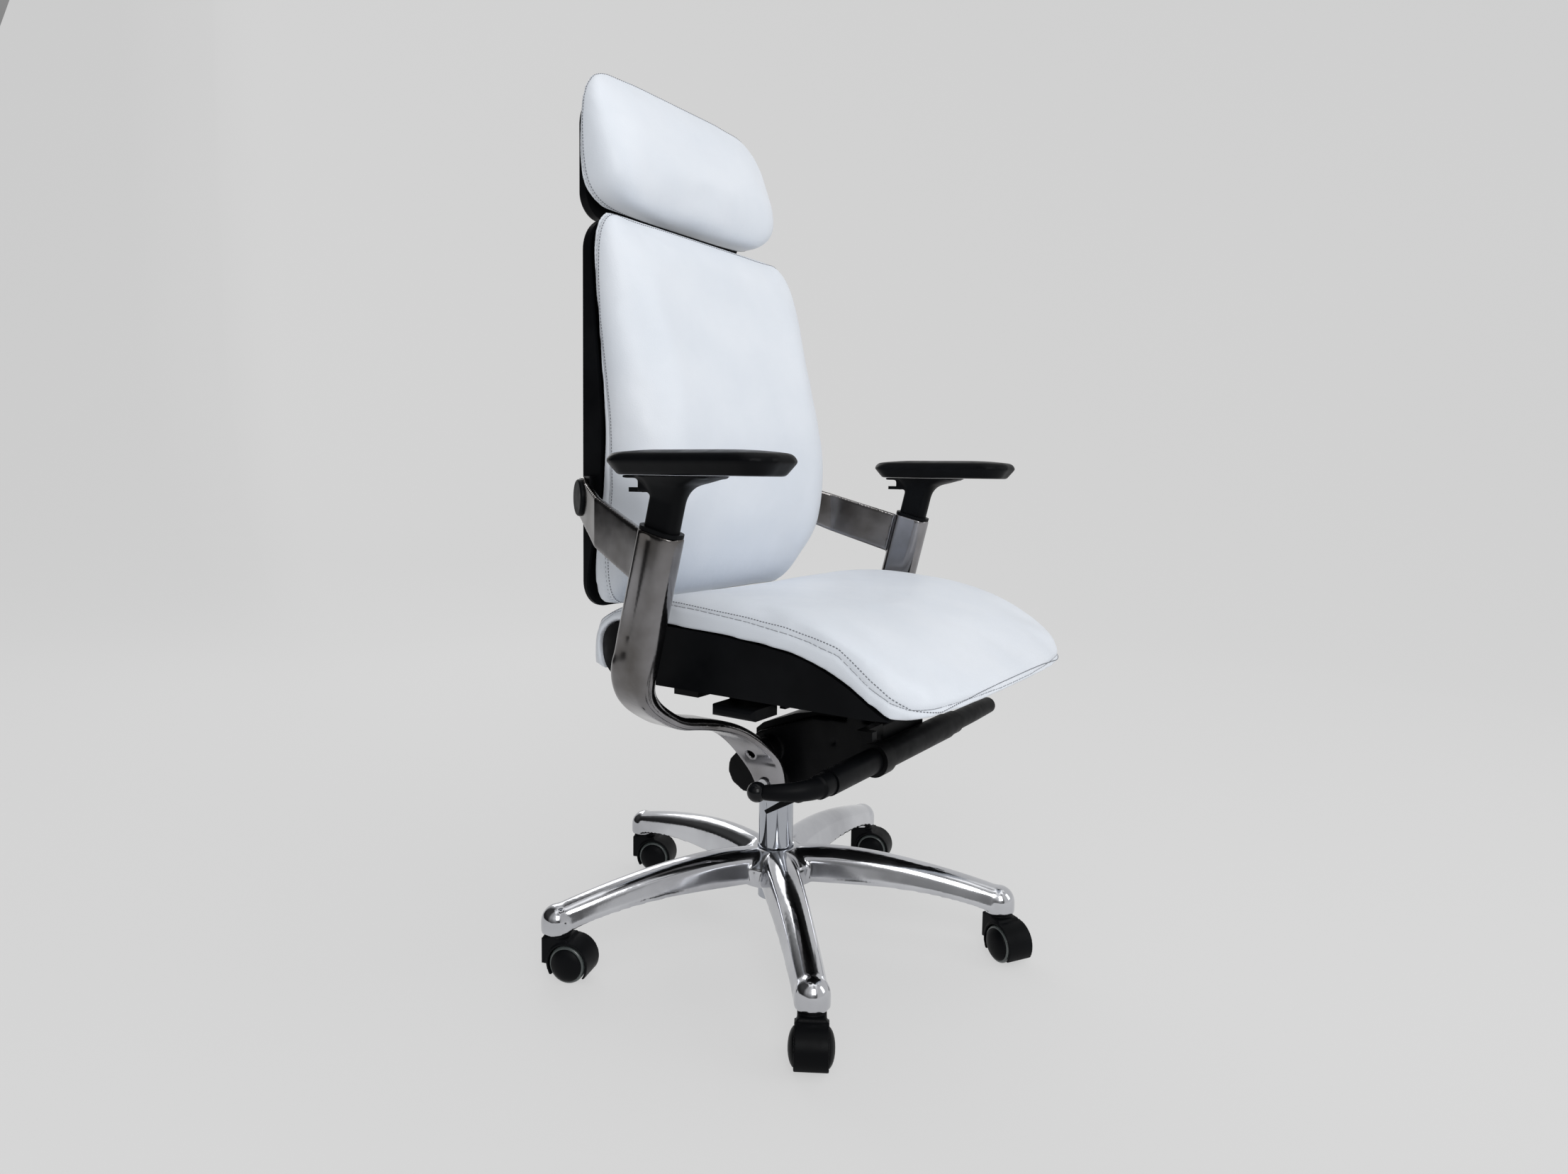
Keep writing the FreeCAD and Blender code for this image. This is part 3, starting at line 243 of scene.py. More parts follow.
def finish_piece(item, body, slot, material=None):
    """Material, shading and the body that a new piece rides on."""
    item.data.materials.clear()
    item.data.materials.append(material or MATERIALS[slot])
    item.data.shade_smooth()
    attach(item, body)
    return item


def evaluated_mesh(item):
    graph = bpy.context.evaluated_depsgraph_get()
    graph.update()
    return bpy.data.meshes.new_from_object(item.evaluated_get(graph))


def bake_modifiers(item):
    mesh = evaluated_mesh(item)
    item.modifiers.clear()
    item.data = mesh
    return item


def coordinates(mesh):
    values = np.empty(len(mesh.vertices) * 3)
    mesh.vertices.foreach_get("co", values)
    return values.reshape(-1, 3)


def set_coordinates(mesh, values):
    mesh.vertices.foreach_set("co", values.ravel())
    mesh.update()


def vertex_normals(mesh):
    values = np.empty(len(mesh.vertices) * 3)
    mesh.vertex_normals.foreach_get("vector", values)
    return values.reshape(-1, 3)


def welded_copy(name, node):
    """A closed copy of a CAD node's mesh."""
    mesh = frame["nodes"][node].data.copy()
    work = bmesh.new()
    work.from_mesh(mesh)
    bmesh.ops.remove_doubles(work, verts=work.verts, dist=WELD_DISTANCE)
    work.to_mesh(mesh)
    work.free()
    if mesh.attributes.get("custom_normal"):
        mesh.attributes.remove(mesh.attributes["custom_normal"])
    mesh.materials.clear()
    return add_object(name, mesh)


def remeshed(item, voxel, rounds):
    """Even quads over the shape, smoothed so that its edges and inner corners become round."""
    even = item.modifiers.new("even", "REMESH")
    even.mode = "VOXEL"
    even.voxel_size = voxel
    smooth = item.modifiers.new("smooth", "SMOOTH")
    smooth.factor = SMOOTHING_SHARE
    smooth.iterations = rounds
    return bake_modifiers(item)


def relax(mesh, weights, rounds):
    """Moves each point towards the middle of its neighbours, by its own weight from 0 to 1."""
    ends = np.empty(len(mesh.edges) * 2, int)
    mesh.edges.foreach_get("vertices", ends)
    first, second = ends.reshape(-1, 2).T
    count = len(mesh.vertices)
    share = SMOOTHING_SHARE * weights[:, None]
    degree = np.bincount(np.concatenate([first, second]), minlength=count)[:, None]
    places = coordinates(mesh)
    for _ in range(rounds):
        totals = []
        for axis in range(3):
            forth = np.bincount(first, places[second, axis], count)
            back = np.bincount(second, places[first, axis], count)
            totals.append(forth + back)
        places += share * (np.stack(totals, axis=1) / degree - places)
    set_coordinates(mesh, places)


def cast_piece(node, body, slot, voxel, rounds):
    """Replaces a CAD node with its shape as a casting or moulding: soft edges and filled corners."""
    item = remeshed(welded_copy(node + "_cast", node), voxel, rounds)
    finish_piece(item, body, slot)
    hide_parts(node)
    return item


def along_loop(points):
    """A loop closed by its first point, and how far along it each point lies."""
    closed = np.vstack([points, points[:1]])
    lengths = np.linalg.norm(np.diff(closed, axis=0), axis=1)
    return closed, np.concatenate([[0], np.cumsum(lengths)])


def values_at(marks, along, values):
    """Rows of values looked up at marks along a loop."""
    return np.stack([np.interp(marks, along, column) for column in values.T], axis=1)


def even_steps(points, pitch):
    """Points along a loop at an even pitch."""
    closed, along = along_loop(points)
    marks = np.linspace(0, along[-1], int(round(along[-1] / pitch)), endpoint=False)
    return values_at(marks, along, closed)


# ---------------------------------------------------------------- cushions

# Cushion covers: size of the quads, how far the skin starts inside the CAD solid before it swells,
# the pressure under it, the farthest a point may travel and the rounds that take out fine wrinkles.
PAD_VOXEL = 0.005
PAD_SHRINK = 0.003
PAD_PRESSURE = 1.4
PAD_CAP = 0.005
PAD_SMOOTHING = 14
CLOTH_FRAMES = 20

# Sewing: the groove that the seam pulls in, the seam itself and the stitches beside it.
GROOVE_DEPTH = 1.8 * MM
GROOVE_WIDTH = 3.0 * MM
SEAM_RADIUS = 0.7 * MM
SEAM_SINK = 0.4 * MM
SEAM_SIDES = 8
STITCH_PITCH = 4.2 * MM
STITCH_LENGTH = 2.9 * MM
STITCH_RADIUS = 0.6 * MM
STITCH_SIDES = 6
# Share of its radius by which a stitch's middle stands above the leather.
STITCH_LIFT = 0.35
# A stitch's thickness against the place along it.
STITCH_PROFILE = ((-0.5, 0.0), (-0.42, 0.75), (-0.15, 1.0), (0.15, 1.0), (0.42, 0.75), (0.5, 0.0))
LOOP_PITCH = 0.004
CORNER_STEPS = 24


def fade(values, start, width):
    """Rises from 0 at start to 1 over a width."""
    return np.clip((values - start) / width, 0, 1)


def pin_points(item, held):
    """Vertex group of the points that the simulation holds still."""
    group = item.vertex_groups.new(name="held")
    for index, weight in enumerate(held):
        if weight > 0.01:
            group.add([index], float(weight), "REPLACE")


def inflate(item, held):
    """Cloth under pressure, then each point's travel is limited and kept."""
    start = coordinates(item.data)
    pin_points(item, held)
    cloth = item.modifiers.new("cloth", "CLOTH")
    settings = cloth.settings
    settings.quality = 5
    settings.mass = 0.15
    settings.tension_stiffness = 12
    settings.compression_stiffness = 12
    settings.shear_stiffness = 6
    settings.bending_stiffness = 0.4
    settings.use_pressure = True
    settings.uniform_pressure_force = PAD_PRESSURE
    settings.effector_weights.gravity = 0
    settings.vertex_group_mass = "held"
    cloth.collision_settings.use_collision = False
    cloth.point_cache.frame_start = 1
    cloth.point_cache.frame_end = CLOTH_FRAMES
    for number in range(1, CLOTH_FRAMES + 1):
        bpy.context.scene.frame_set(number)
    swollen = coordinates(evaluated_mesh(item))
    item.modifiers.clear()
    bpy.context.scene.frame_set(1)
    travel = swollen - start
    reach = np.linalg.norm(travel, axis=1, keepdims=True)
    travel *= np.minimum(1.0, PAD_CAP / np.maximum(reach, 1e-9))
    set_coordinates(item.data, start + travel)
    relax(item.data, 1 - np.clip(held, 0, 1), PAD_SMOOTHING)
    item.vertex_groups.clear()


def press_groove(item, line):
    """Pulls the skin in along a sewn line."""
    tree = KDTree(len(line))
    for index, point in enumerate(line):
        tree.insert(point, index)
    tree.balance()
    places = coordinates(item.data)
    normals = vertex_normals(item.data)
    for index, point in enumerate(places):
        distance = tree.find(point)[2]
        if distance < 3 * GROOVE_WIDTH:
            pull = GROOVE_DEPTH * math.exp(-(distance / GROOVE_WIDTH) ** 2)
            places[index] = point - normals[index] * pull
    set_coordinates(item.data, places)


def surface_tree(item):
    graph = bpy.context.evaluated_depsgraph_get()
    return BVHTree.FromObject(item, graph)


def cast_to_surface(tree, starts, targets):
    """Where the lines from outside points towards inner points first meet the surface."""
    hits = []
    normals = []
    for start, target in zip(starts, targets):
        origin = Vector(start)
        hit, normal, _, _ = tree.ray_cast(origin, (Vector(target) - origin).normalized())
        if hit:
            hits.append(hit[:])
            normals.append(normal[:])
    return np.array(hits), np.array(normals)


def directions_at(line, normals, index):
    """Directions along a loop on a surface, out of the surface and sideways, at one of its points."""
    ahead = Vector(line[(index + 1) % len(line)] - line[index - 1]).normalized()
    out = Vector(normals[index]).normalized()
    return ahead, out, ahead.cross(out).normalized()


def ring_round(mesh, middle, side, out, radius, sides):
    """Ring of new points about a middle, in the plane of two directions."""
    ring = []
    for step in range(sides):
        turn = 2 * math.pi * step / sides
        ring.append(mesh.verts.new(middle + side * radius * math.cos(turn) + out * radius * math.sin(turn)))
    return ring


def join_rings(mesh, low, high):
    """Faces between two rings, either of which may be a single point repeated."""
    for step in range(len(low)):
        following = (step + 1) % len(low)
        corners = (low[step], low[following], high[following], high[step])
        mesh.faces.new(list(dict.fromkeys(corners)))


def tube_along(name, line, normals):
    """Closed tube that follows a loop on the surface."""
    mesh = bmesh.new()
    rings = []
    for index in range(len(line)):
        _, out, side = directions_at(line, normals, index)
        middle = Vector(line[index]) - out * SEAM_SINK
        rings.append(ring_round(mesh, middle, side, out, SEAM_RADIUS, SEAM_SIDES))
    for index, ring in enumerate(rings):
        join_rings(mesh, ring, rings[(index + 1) % len(rings)])
    return object_from(name, mesh)


def stitches_along(name, line, normals):
    """Row of short thread lengths lying on the surface."""
    mesh = bmesh.new()
    for index in range(len(line)):
        ahead, out, side = directions_at(line, normals, index)
        middle = Vector(line[index]) + out * STITCH_RADIUS * STITCH_LIFT
        rings = []
        for share, scale in STITCH_PROFILE:
            spine = middle + ahead * share * STITCH_LENGTH
            if scale == 0.0:
                rings.append([mesh.verts.new(spine)] * STITCH_SIDES)
            else:
                rings.append(ring_round(mesh, spine, side, out, STITCH_RADIUS * scale, STITCH_SIDES))
        for low, high in zip(rings, rings[1:]):
            join_rings(mesh, low, high)
    return object_from(name, mesh)


def sew(pad, name, body, seam_guide, stitch_guide):
    """Seam and stitch row round a pad: each guide is a pair of outside and inside points."""
    line, _ = cast_to_surface(surface_tree(pad), *seam_guide)
    press_groove(pad, line)
    tree = surface_tree(pad)
    line, normals = cast_to_surface(tree, *seam_guide)
    # The seam tube is coloured grey: painted shade along the sewn line, in the groove pressed into the
    # leather.
    seam = tube_along(name + "_seam", line, normals)
    finish_piece(seam, body, "white_leather", SEAM_SHADOW)
    rough_line, _ = cast_to_surface(tree, *stitch_guide)
    places = []
    normals = []
    for point in even_steps(rough_line, STITCH_PITCH):
        hit, normal, _, _ = tree.find_nearest(Vector(point))
        places.append(hit[:])
        normals.append(normal[:])
    row = stitches_along(name + "_stitches", np.array(places), np.array(normals))
    finish_piece(row, body, "white_leather", STITCH_THREAD)


def rounded_loop(half_width, low, high, low_radius, high_radius):
    """Evenly spaced outline of a rectangle with round corners, as (across, along) and outward normals."""
    corners = ((1, 1, high_radius, high, 0), (-1, 1, high_radius, high, 90),
               (-1, -1, low_radius, low, 180), (1, -1, low_radius, low, 270))
    points = []
    normals = []
    for across, forward, radius, edge, start in corners:
        hub = np.array([across * (half_width - radius), edge - forward * radius])
        for step in range(CORNER_STEPS + 1):
            turn = math.radians(start + 90 * step / CORNER_STEPS)
            normal = np.array([math.cos(turn), math.sin(turn)])
            points.append(hub + normal * radius)
            normals.append(normal)
    closed, along = along_loop(np.array(points))
    marks = np.linspace(0, along[-1], int(along[-1] / LOOP_PITCH), endpoint=False)
    even = values_at(marks, along, closed)
    facing = values_at(marks, along, np.array(normals + normals[:1]))
    return even, facing / np.linalg.norm(facing, axis=1, keepdims=True)


# Height of the seat's seam against the place along the seat, back to front.
SEAT_SEAM = ((0.160, 0.437), (0.150, 0.448), (0.125, 0.470), (0.090, 0.489), (0.040, 0.503),
             (-0.005, 0.507), (-0.045, 0.504), (-0.117, 0.497), (-0.173, 0.489), (-0.205, 0.482),
             (-0.241, 0.472), (-0.255, 0.462), (-0.282, 0.441), (-0.305, 0.427), (-0.328, 0.420),
             (-0.365, 0.418))
SEAT_CORNER = 0.064
# How far outside the seat its guide points start, and how steeply they look down on the stitch row.
SEAT_GUIDE_REACH = 0.08
SEAT_GUIDE_RISE = 0.9
SEAT_STITCH_LIFT = 0.010
SEAT_STITCH_INSET = 0.004
SEAT_DISH = 0.005


def along_curve(table, values):
    """Linear look-up in a table of (place, number) pairs."""
    table = np.array(sorted(table))
    return np.interp(values, table[:, 0], table[:, 1])


def seat_guide(lift, inset):
    """Guide loop for a sewn line round the seat, moved up and inwards from the seam."""
    low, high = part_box("seat_cushion")
    loop, facing = rounded_loop(high[0] - inset, low[1] + inset, high[1] - inset, SEAT_CORNER, SEAT_CORNER)
    height = along_curve(SEAT_SEAM, loop[:, 1]) + lift
    rise = SEAT_GUIDE_RISE if lift > 0 else 0.0
    inner = np.stack([loop[:, 0], loop[:, 1], height], axis=1)
    outward = np.stack([facing[:, 0], facing[:, 1], np.full(len(loop), rise)], axis=1)
    return inner + outward * SEAT_GUIDE_REACH, inner


def make_seat_cushion():
    """Seat pad, rounded above its seam and dished where one sits."""
    pad = remeshed(welded_copy("seat_pad", "seat_cushion"), PAD_VOXEL, 5)
    places = coordinates(pad.data)
    above_seam = places[:, 2] - along_curve(SEAT_SEAM, places[:, 1])
    relax(pad.data, fade(above_seam, 0.001, 0.010), 40)
    places = coordinates(pad.data)
    normals = vertex_normals(pad.data)
    top = fade(normals[:, 2], 0.3, 0.5)
    dish = np.clip(1 - (places[:, 0] / 0.215) ** 2, 0, 1) * fade(places[:, 1], -0.33, 0.12)
    places -= normals * PAD_SHRINK
    places[:, 2] -= SEAT_DISH * top * dish
    set_coordinates(pad.data, places)
    underside = fade(-normals[:, 2], -0.1, 0.4)
    inflate(pad, underside * (np.abs(places[:, 0]) < 0.235))
    smooth_subdivision(pad)
    finish_piece(pad, "seat_slide", "white_leather")
    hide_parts("seat_cushion")
    sew(pad, "seat", "seat_slide", seat_guide(0.0, 0.0), seat_guide(SEAT_STITCH_LIFT, SEAT_STITCH_INSET))


def smooth_subdivision(item):
    """One subdivision, applied."""
    modifier = item.modifiers.new("fine", "SUBSURF")
    modifier.levels = 1
    modifier.render_levels = 1
    bake_modifiers(item)


# Place of the back's seam, behind its front, against height.
BACK_SEAM = ((0.480, 0.140), (0.520, 0.134), (0.560, 0.126), (0.632, 0.119), (0.730, 0.122), (0.796, 0.130),
             (0.890, 0.143), (1.008, 0.150), (1.020, 0.150))
HEAD_SEAM = ((1.020, 0.188), (1.053, 0.192), (1.083, 0.195), (1.127, 0.197), (1.177, 0.199), (1.220, 0.200))


# The guide points of an upright cushion: how far outside they start, and the share of the way out
# from its middle at which the points that they look at lie.
UPRIGHT_GUIDE_REACH = 0.05
UPRIGHT_GUIDE_SHARE = 0.6
UPRIGHT_STITCH_FORWARD = 0.006


def upright_guide(node, seam, forward, radii):
    """Guide loop for a sewn line round an upright cushion, moved forward from the seam."""
    low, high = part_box(node)
    loop, facing = rounded_loop(high[0], low[2], high[2], *radii)
    depth = along_curve(seam, loop[:, 1]) - forward
    middle = 0.5 * (low[2] + high[2])
    inner_height = (loop[:, 1] - middle) * UPRIGHT_GUIDE_SHARE + middle
    inner = np.stack([loop[:, 0] * UPRIGHT_GUIDE_SHARE, depth, inner_height], axis=1)
    outer_loop = loop + facing * UPRIGHT_GUIDE_REACH
    return np.stack([outer_loop[:, 0], depth, outer_loop[:, 1]], axis=1), inner


def make_upright_cushion(name, node, body, seam, radii, bolster, dish_depth):
    """Back or headrest pad, dished between its side bolsters."""
    pad = remeshed(welded_copy(name, node), PAD_VOXEL, 6)
    places = coordinates(pad.data)
    normals = vertex_normals(pad.data)
    low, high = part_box(node)
    front = fade(-normals[:, 1], 0.3, 0.5)
    between_bolsters = np.clip(1 - (np.abs(places[:, 0]) / bolster) ** 3, 0, 1)
    off_the_ends = fade(places[:, 2], low[2], 0.10) * fade(-places[:, 2], -high[2], 0.10)
    places -= normals * PAD_SHRINK
    places[:, 1] += dish_depth * front * between_bolsters * off_the_ends
    set_coordinates(pad.data, places)
    inflate(pad, fade(normals[:, 1], 0.1, 0.4))
    smooth_subdivision(pad)
    finish_piece(pad, body, "white_leather")
    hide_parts(node)
    seam_guide = upright_guide(node, seam, 0.0, radii)
    sew(pad, name, body, seam_guide, upright_guide(node, seam, UPRIGHT_STITCH_FORWARD, radii))


# ---------------------------------------------------------------- hard pieces

def colour_frame():
    """Every CAD node that still shows gets the procedural material of its slot."""
    for part in frame["record"]["subparts"]:
        item = frame["nodes"][part["node"]]
        item.data.materials.clear()
        item.data.materials.append(MATERIALS[part["material_slot"]])


# Foot of the flute in an arm tube: distance out, forward position and height.
FLUTE_FOOT = (0.336, -0.009, 0.460)
FLUTE_BLEND = 0.022
FLUTE_SMOOTHING = 70


def soften_flute(mesh, side):
    """Lets the flute run out softly into the tube's face."""
    foot = np.array([side * FLUTE_FOOT[0], FLUTE_FOOT[1], FLUTE_FOOT[2]])
    distance = np.linalg.norm(coordinates(mesh) - foot, axis=1)
    relax(mesh, np.clip(2 - 2 * distance / FLUTE_BLEND, 0, 1), FLUTE_SMOOTHING)


def make_castings():
    """Each cast or moulded node: its body, its material slot, the quads' size and the smoothing rounds."""
    cast_piece("star_base", "base", "polished_aluminium", 0.0022, 10)
    for name, side in SIDES:
        frame_cast = cast_piece("arm_frame_" + name, "recline", "arm_metal", 0.0017, 8)
        soften_flute(frame_cast.data, side)
        cast_piece("arm_post_" + name, "arm_" + name, "black_plastic", 0.0016, 8)
        cast_piece("arm_pad_" + name, "arm_" + name, "pad_black", 0.0022, 5)
    cast_piece("mechanism_housing", "lift", "black_metal", 0.0022, 4)
    cast_piece("tension_handle", "tension", "black_plastic", 0.0012, 6)
    for index in range(1, 6):
        cast_piece("caster_hood_%d" % index, "caster_%d" % index, "black_plastic", 0.0011, 6)


# Wheel sections in mm: radius and distance out from the middle of the caster.
TREAD_PROFILE = ((20.5, 5.0), (23.4, 5.0), (24.5, 5.7), (24.9, 7.0), (25.0, 8.5), (25.0, 15.0), (24.9, 16.6),
                 (24.3, 18.2), (23.2, 19.3), (21.9, 19.8), (20.5, 19.6))
CAP_PROFILE = ((0.0, 25.0), (3.1, 25.0), (3.1, 4.7), (20.2, 4.7), (20.9, 5.4), (21.0, 18.9), (21.4, 19.9),
               (21.2, 20.8), (20.2, 21.7), (17.4, 23.6), (14.0, 25.0), (9.8, 26.1), (5.0, 26.8), (0.0, 27.0))
WHEEL_SIDES = 72
# The base: circle of the caster stems, direction of the first arm and turn of each caster, in degrees.
STEM_CIRCLE = 0.320
FIRST_ARM_ANGLE = 149.4
CASTER_ANGLES = (-71.0, -149.0, -121.0, -75.0, -69.0)
CASTER_TRAIL = 0.022
WHEEL_RADIUS = 0.025


def lathe(name, profile, place, closed):
    """Surface turned about local Z from (radius, height) points in mm, placed by a matrix."""
    mesh = bmesh.new()
    across, ahead = Vector((1, 0, 0)), Vector((0, 1, 0))
    rings = []
    for radius, height in profile:
        middle = Vector((0, 0, height * MM))
        if radius == 0.0:
            rings.append([mesh.verts.new(middle)] * WHEEL_SIDES)
        else:
            rings.append(ring_round(mesh, middle, across, ahead, radius * MM, WHEEL_SIDES))
    for low, high in zip(rings, rings[1:]):
        join_rings(mesh, low, high)
    if closed:
        join_rings(mesh, rings[-1], rings[0])
    bmesh.ops.recalc_face_normals(mesh, faces=mesh.faces)
    mesh.transform(place)
    return object_from(name, mesh)


def make_wheels():
    """Black domed caps, each with a ring of soft grey tread round it."""
    for index in range(5):
        arm = math.radians(FIRST_ARM_ANGLE + 72 * index)
        stem = Matrix.Translation((STEM_CIRCLE * math.cos(arm), STEM_CIRCLE * math.sin(arm), 0))
        caster = stem @ Matrix.Rotation(math.radians(CASTER_ANGLES[index]), 4, "Z")
        axle = caster @ Matrix.Translation((CASTER_TRAIL, 0, WHEEL_RADIUS))
        for side, turn in (("right", 90), ("left", -90)):
            node = "wheel_%s_%d" % (side, index + 1)
            place = axle @ Matrix.Rotation(math.radians(turn), 4, "X")
            cap = lathe(node + "_cap", CAP_PROFILE, place, False)
            finish_piece(cap, node, "wheel_tread", MATERIALS["black_plastic"])
            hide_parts(node)
            ring = lathe(node + "_tread", TREAD_PROFILE, place, True)
            finish_piece(ring, node, "wheel_tread")


# ---------------------------------------------------------------- stage, light and camera

# Circles of the level floor, and how far it reaches where no backdrop rises from it.
FLOOR_RADII = (0.6, 1.2, 1.8, 2.6)
FLOOR_REACH = 9.0
FLOOR_GLOW = 0.53
# The backdrop: radius of the bend up to it, its height, the world angles between which it stands and
# the width of its sloping ends, in degrees.
BACKDROP_BEND = 1.6
BACKDROP_HEIGHT = 6.0
BACKDROP_START = -105
BACKDROP_END = 72
BACKDROP_FADE = 14
BEND_STEPS = 16
DEGREES_PER_RAY = 3


def backdrop_share(angle):
    """How far the backdrop is raised at a world angle."""
    inside = min(angle - BACKDROP_START, BACKDROP_END - angle)
    return min(max(inside / BACKDROP_FADE + 1, 0), 1)


def floor_rows():
    """Circles outside the middle: reach and height under the backdrop, and reach on the level floor."""
    rows = [(distance, 0.0, distance) for distance in FLOOR_RADII]
    start = FLOOR_RADII[-1]
    for step in range(1, BEND_STEPS + 1):
        turn = math.radians(90 * step / BEND_STEPS)
        level_reach = start + (FLOOR_REACH - 1 - start) * step / BEND_STEPS
        rise = BACKDROP_BEND * (1 - math.cos(turn))
        rows.append((start + BACKDROP_BEND * math.sin(turn), rise, level_reach))
    rows.append((start + BACKDROP_BEND, BACKDROP_HEIGHT, FLOOR_REACH))
    return rows


def make_floor():
    """Pale round floor that curves up into a backdrop on the +X and -Y sides."""
    mesh = bmesh.new()
    middle = mesh.verts.new((0, 0, 0))
    rows = floor_rows()
    rays = []
    for angle in range(-180, 180, DEGREES_PER_RAY):
        share = backdrop_share(angle)
        across, ahead = math.cos(math.radians(angle)), math.sin(math.radians(angle))
        ray = [middle]
        for distance, rise, level_reach in rows:
            reach = level_reach + share * (distance - level_reach)
            ray.append(mesh.verts.new((reach * across, reach * ahead, share * rise)))
        rays.append(ray)
    for index, ray in enumerate(rays):
        following = rays[(index + 1) % len(rays)]
        for step in range(len(ray) - 1):
            corners = (ray[step], ray[step + 1], following[step + 1], following[step])
            mesh.faces.new(list(dict.fromkeys(corners)))
    floor = object_from("studio_floor", mesh)
    floor.data.shade_smooth()
    shader = Shader("studio_paper", (0.18, 0.18, 0.18), 0.9)
    shader.set("Emission Color", (1, 1, 1, 1)).set("Emission Strength", FLOOR_GLOW)
    shader.set("Specular IOR Level", 0.1)
    floor.data.materials.append(shader.material)


# The camera, fitted to the photo: place in metres, turn from +Y towards +X, tilt and roll in degrees,
# focal length and sensor width in millimetres, and shift as a share of the width.
CAMERA_PLACE = (-1.17503, -0.77448, 0.66699)
CAMERA_YAW = 56.06
CAMERA_PITCH = -4.775
CAMERA_ROLL = 0.783
CAMERA_LENS = 22.763
SENSOR_WIDTH = 36
CAMERA_SHIFT = (0.00879, -0.01877)


def make_camera():
    data = bpy.data.cameras.new("camera")
    data.sensor_width = SENSOR_WIDTH
    data.lens = CAMERA_LENS
    data.shift_x, data.shift_y = CAMERA_SHIFT
    data.clip_start = 0.02
    yaw, pitch, roll = (math.radians(angle) for angle in (CAMERA_YAW, CAMERA_PITCH, CAMERA_ROLL))
    ahead = Vector((math.sin(yaw) * math.cos(pitch), math.cos(yaw) * math.cos(pitch), math.sin(pitch)))
    level = Vector((math.cos(yaw), -math.sin(yaw), 0))
    upright = level.cross(ahead)
    across = level * math.cos(roll) + upright * math.sin(roll)
    up = upright * math.cos(roll) - level * math.sin(roll)
    turn = Matrix((across, up, -ahead)).transposed()
    camera = add_object("camera", data)
    camera.matrix_world = Matrix.Translation(CAMERA_PLACE) @ turn.to_4x4()
    bpy.context.scene.camera = camera


def area_light(name, place, target, width, height, power):
    data = bpy.data.lights.new(name, "AREA")
    data.shape = "RECTANGLE"
    data.size = width
    data.size_y = height
    data.energy = power
    lamp = add_object(name, data)
    lamp.location = place
    lamp.rotation_euler = (Vector(target) - Vector(place)).to_track_quat("-Z", "Y").to_euler()


def make_lights():
    """Four soft boxes: place, target, width, height and power in watts. The world gives the rest."""
    area_light("overhead", (-0.3, -0.3, 2.9), (0, 0, 0.4), 2.4, 1.6, 8)
    area_light("front", (-2.1, -1.9, 2.0), (0, 0, 0.9), 1.3, 1.8, 34)
    area_light("side", (0.9, -2.6, 1.5), (0, 0, 0.5), 0.9, 1.8, 9)
    area_light("back", (1.4, 2.2, 1.9), (0, 0, 0.6), 1.2, 1.6, 10)
    make_world()


# Brightness against the share of the way from straight down to straight up.
WORLD_HEIGHTS = ((0.0, 0.45), (0.42, 0.42), (0.50, 0.12), (0.60, 0.22), (0.74, 0.55), (1.0, 0.55))
# Brightness against the share of a turn about the vertical, from -X round through -Y.
WORLD_PANELS = ((0.0, 0.40), (0.083, 0.85), (0.153, 0.25), (0.22, 0.9), (0.306, 0.3), (0.39, 0.85),
                (0.5, 0.35), (0.61, 0.75), (0.70, 0.30), (0.755, 0.05), (0.915, 0.06), (0.965, 0.40))
PANEL_STRENGTH = 2.1


def fill_ramp(ramp, stops):
    """Grey stops of a colour ramp, which starts with two."""
    for index, (position, value) in enumerate(stops):
        stop = ramp.elements[index] if index < 2 else ramp.elements.new(position)
        stop.position = position
        stop.color = (value, value, value, 1)


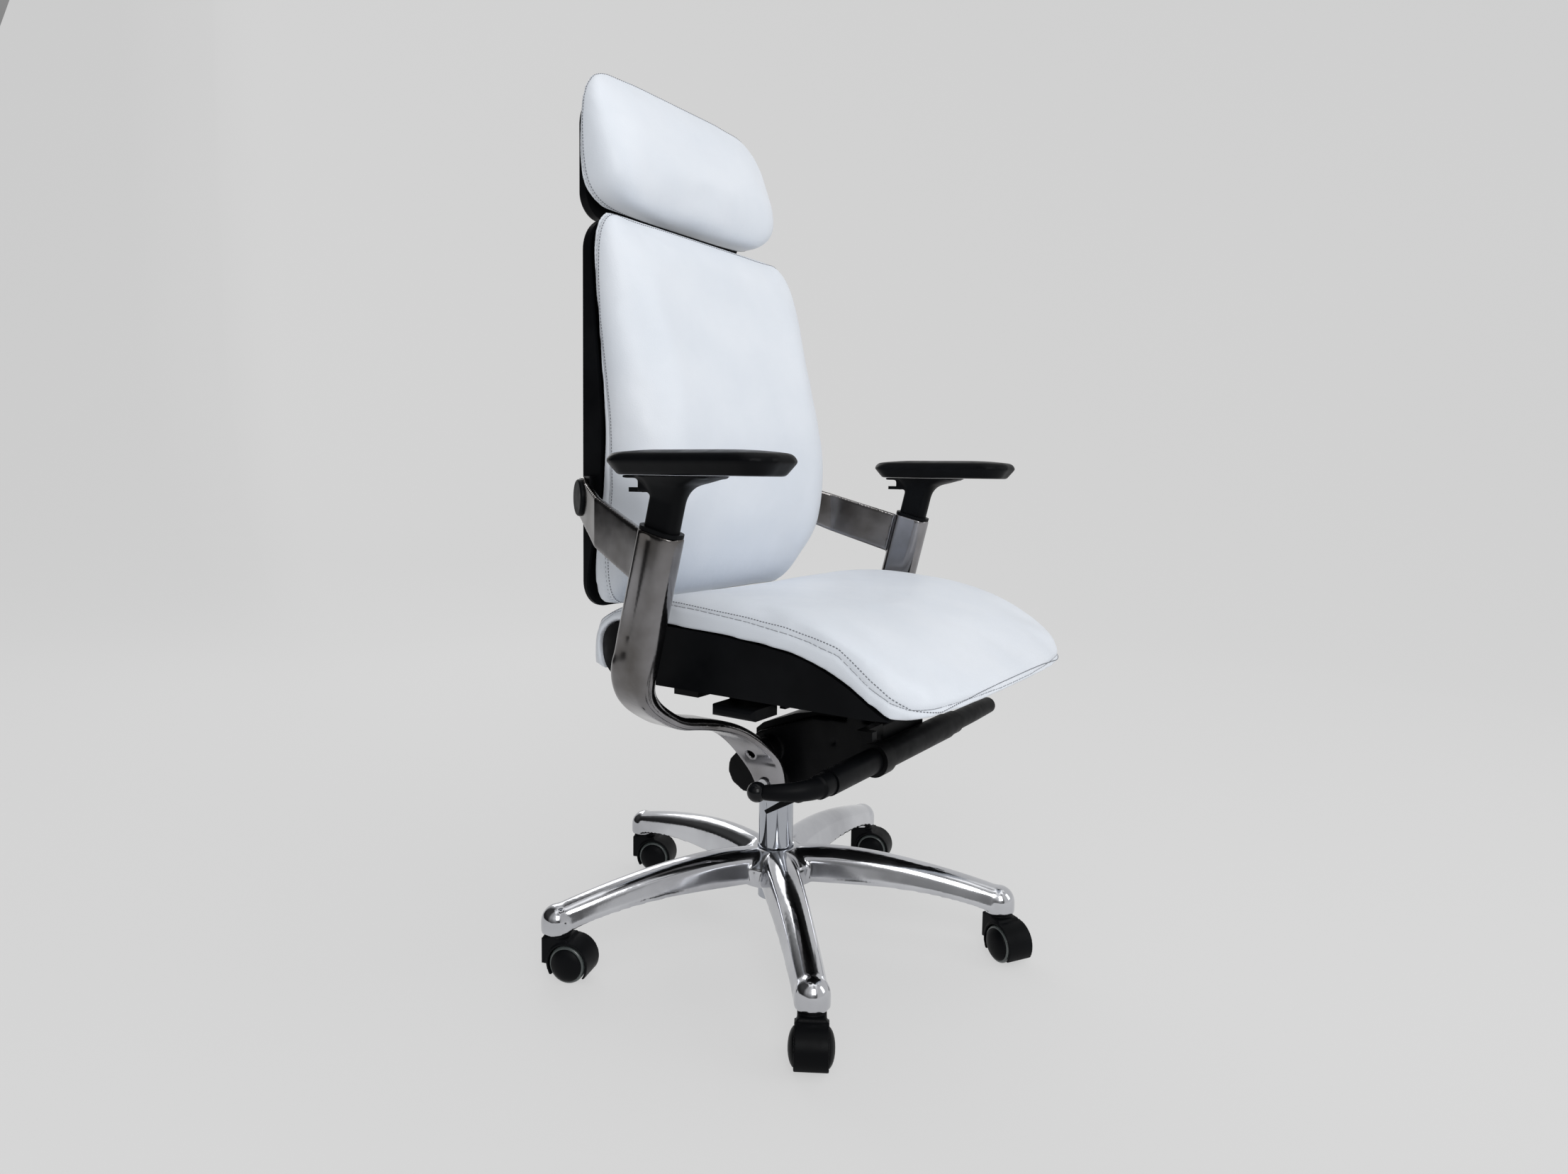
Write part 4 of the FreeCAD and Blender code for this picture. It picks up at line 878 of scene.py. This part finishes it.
def make_world():
    """Soft sky of light above, with darker panels round the horizon for the metal to mirror."""
    world = bpy.data.worlds.new("studio")
    bpy.context.scene.world = world
    world.use_nodes = True
    tree = world.node_tree
    tree.nodes.clear()
    place = tree.nodes.new("ShaderNodeTexCoord").outputs["Generated"]
    split = tree.nodes.new("ShaderNodeSeparateXYZ")
    tree.links.new(place, split.inputs["Vector"])
    ramp = tree.nodes.new("ShaderNodeValToRGB")
    fill_ramp(ramp.color_ramp, WORLD_HEIGHTS)
    height = tree.nodes.new("ShaderNodeMapRange")
    height.inputs["From Min"].default_value = -1
    tree.links.new(split.outputs["Z"], height.inputs["Value"])
    tree.links.new(height.outputs["Result"], ramp.inputs["Fac"])
    angle = tree.nodes.new("ShaderNodeMath")
    angle.operation = "ARCTAN2"
    tree.links.new(split.outputs["Y"], angle.inputs[0])
    tree.links.new(split.outputs["X"], angle.inputs[1])
    share = tree.nodes.new("ShaderNodeMapRange")
    share.inputs["From Min"].default_value = -math.pi
    share.inputs["From Max"].default_value = math.pi
    tree.links.new(angle.outputs[0], share.inputs["Value"])
    panels = tree.nodes.new("ShaderNodeValToRGB")
    fill_ramp(panels.color_ramp, WORLD_PANELS)
    tree.links.new(share.outputs["Result"], panels.inputs["Fac"])
    strength = tree.nodes.new("ShaderNodeMath")
    strength.operation = "MULTIPLY"
    strength.inputs[1].default_value = PANEL_STRENGTH
    tree.links.new(panels.outputs["Color"], strength.inputs[0])
    light = tree.nodes.new("ShaderNodeVectorMath")
    light.operation = "SCALE"
    tree.links.new(ramp.outputs["Color"], light.inputs[0])
    tree.links.new(strength.outputs[0], light.inputs["Scale"])
    background = tree.nodes.new("ShaderNodeBackground")
    tree.links.new(light.outputs["Vector"], background.inputs["Color"])
    output = tree.nodes.new("ShaderNodeOutputWorld")
    tree.links.new(background.outputs[0], output.inputs[0])


# ---------------------------------------------------------------- the chair

bpy.context.scene.view_settings.view_transform = "Standard"
make_camera()
make_lights()
make_floor()
colour_frame()
make_castings()
make_wheels()
make_seat_cushion()
make_upright_cushion("back_pad", "back_cushion", "recline", BACK_SEAM, (0.06, 0.055), 0.165, 0.008)
make_upright_cushion("headrest_pad", "headrest_cushion", "headrest", HEAD_SEAM, (0.06, 0.08), 0.15, 0.003)
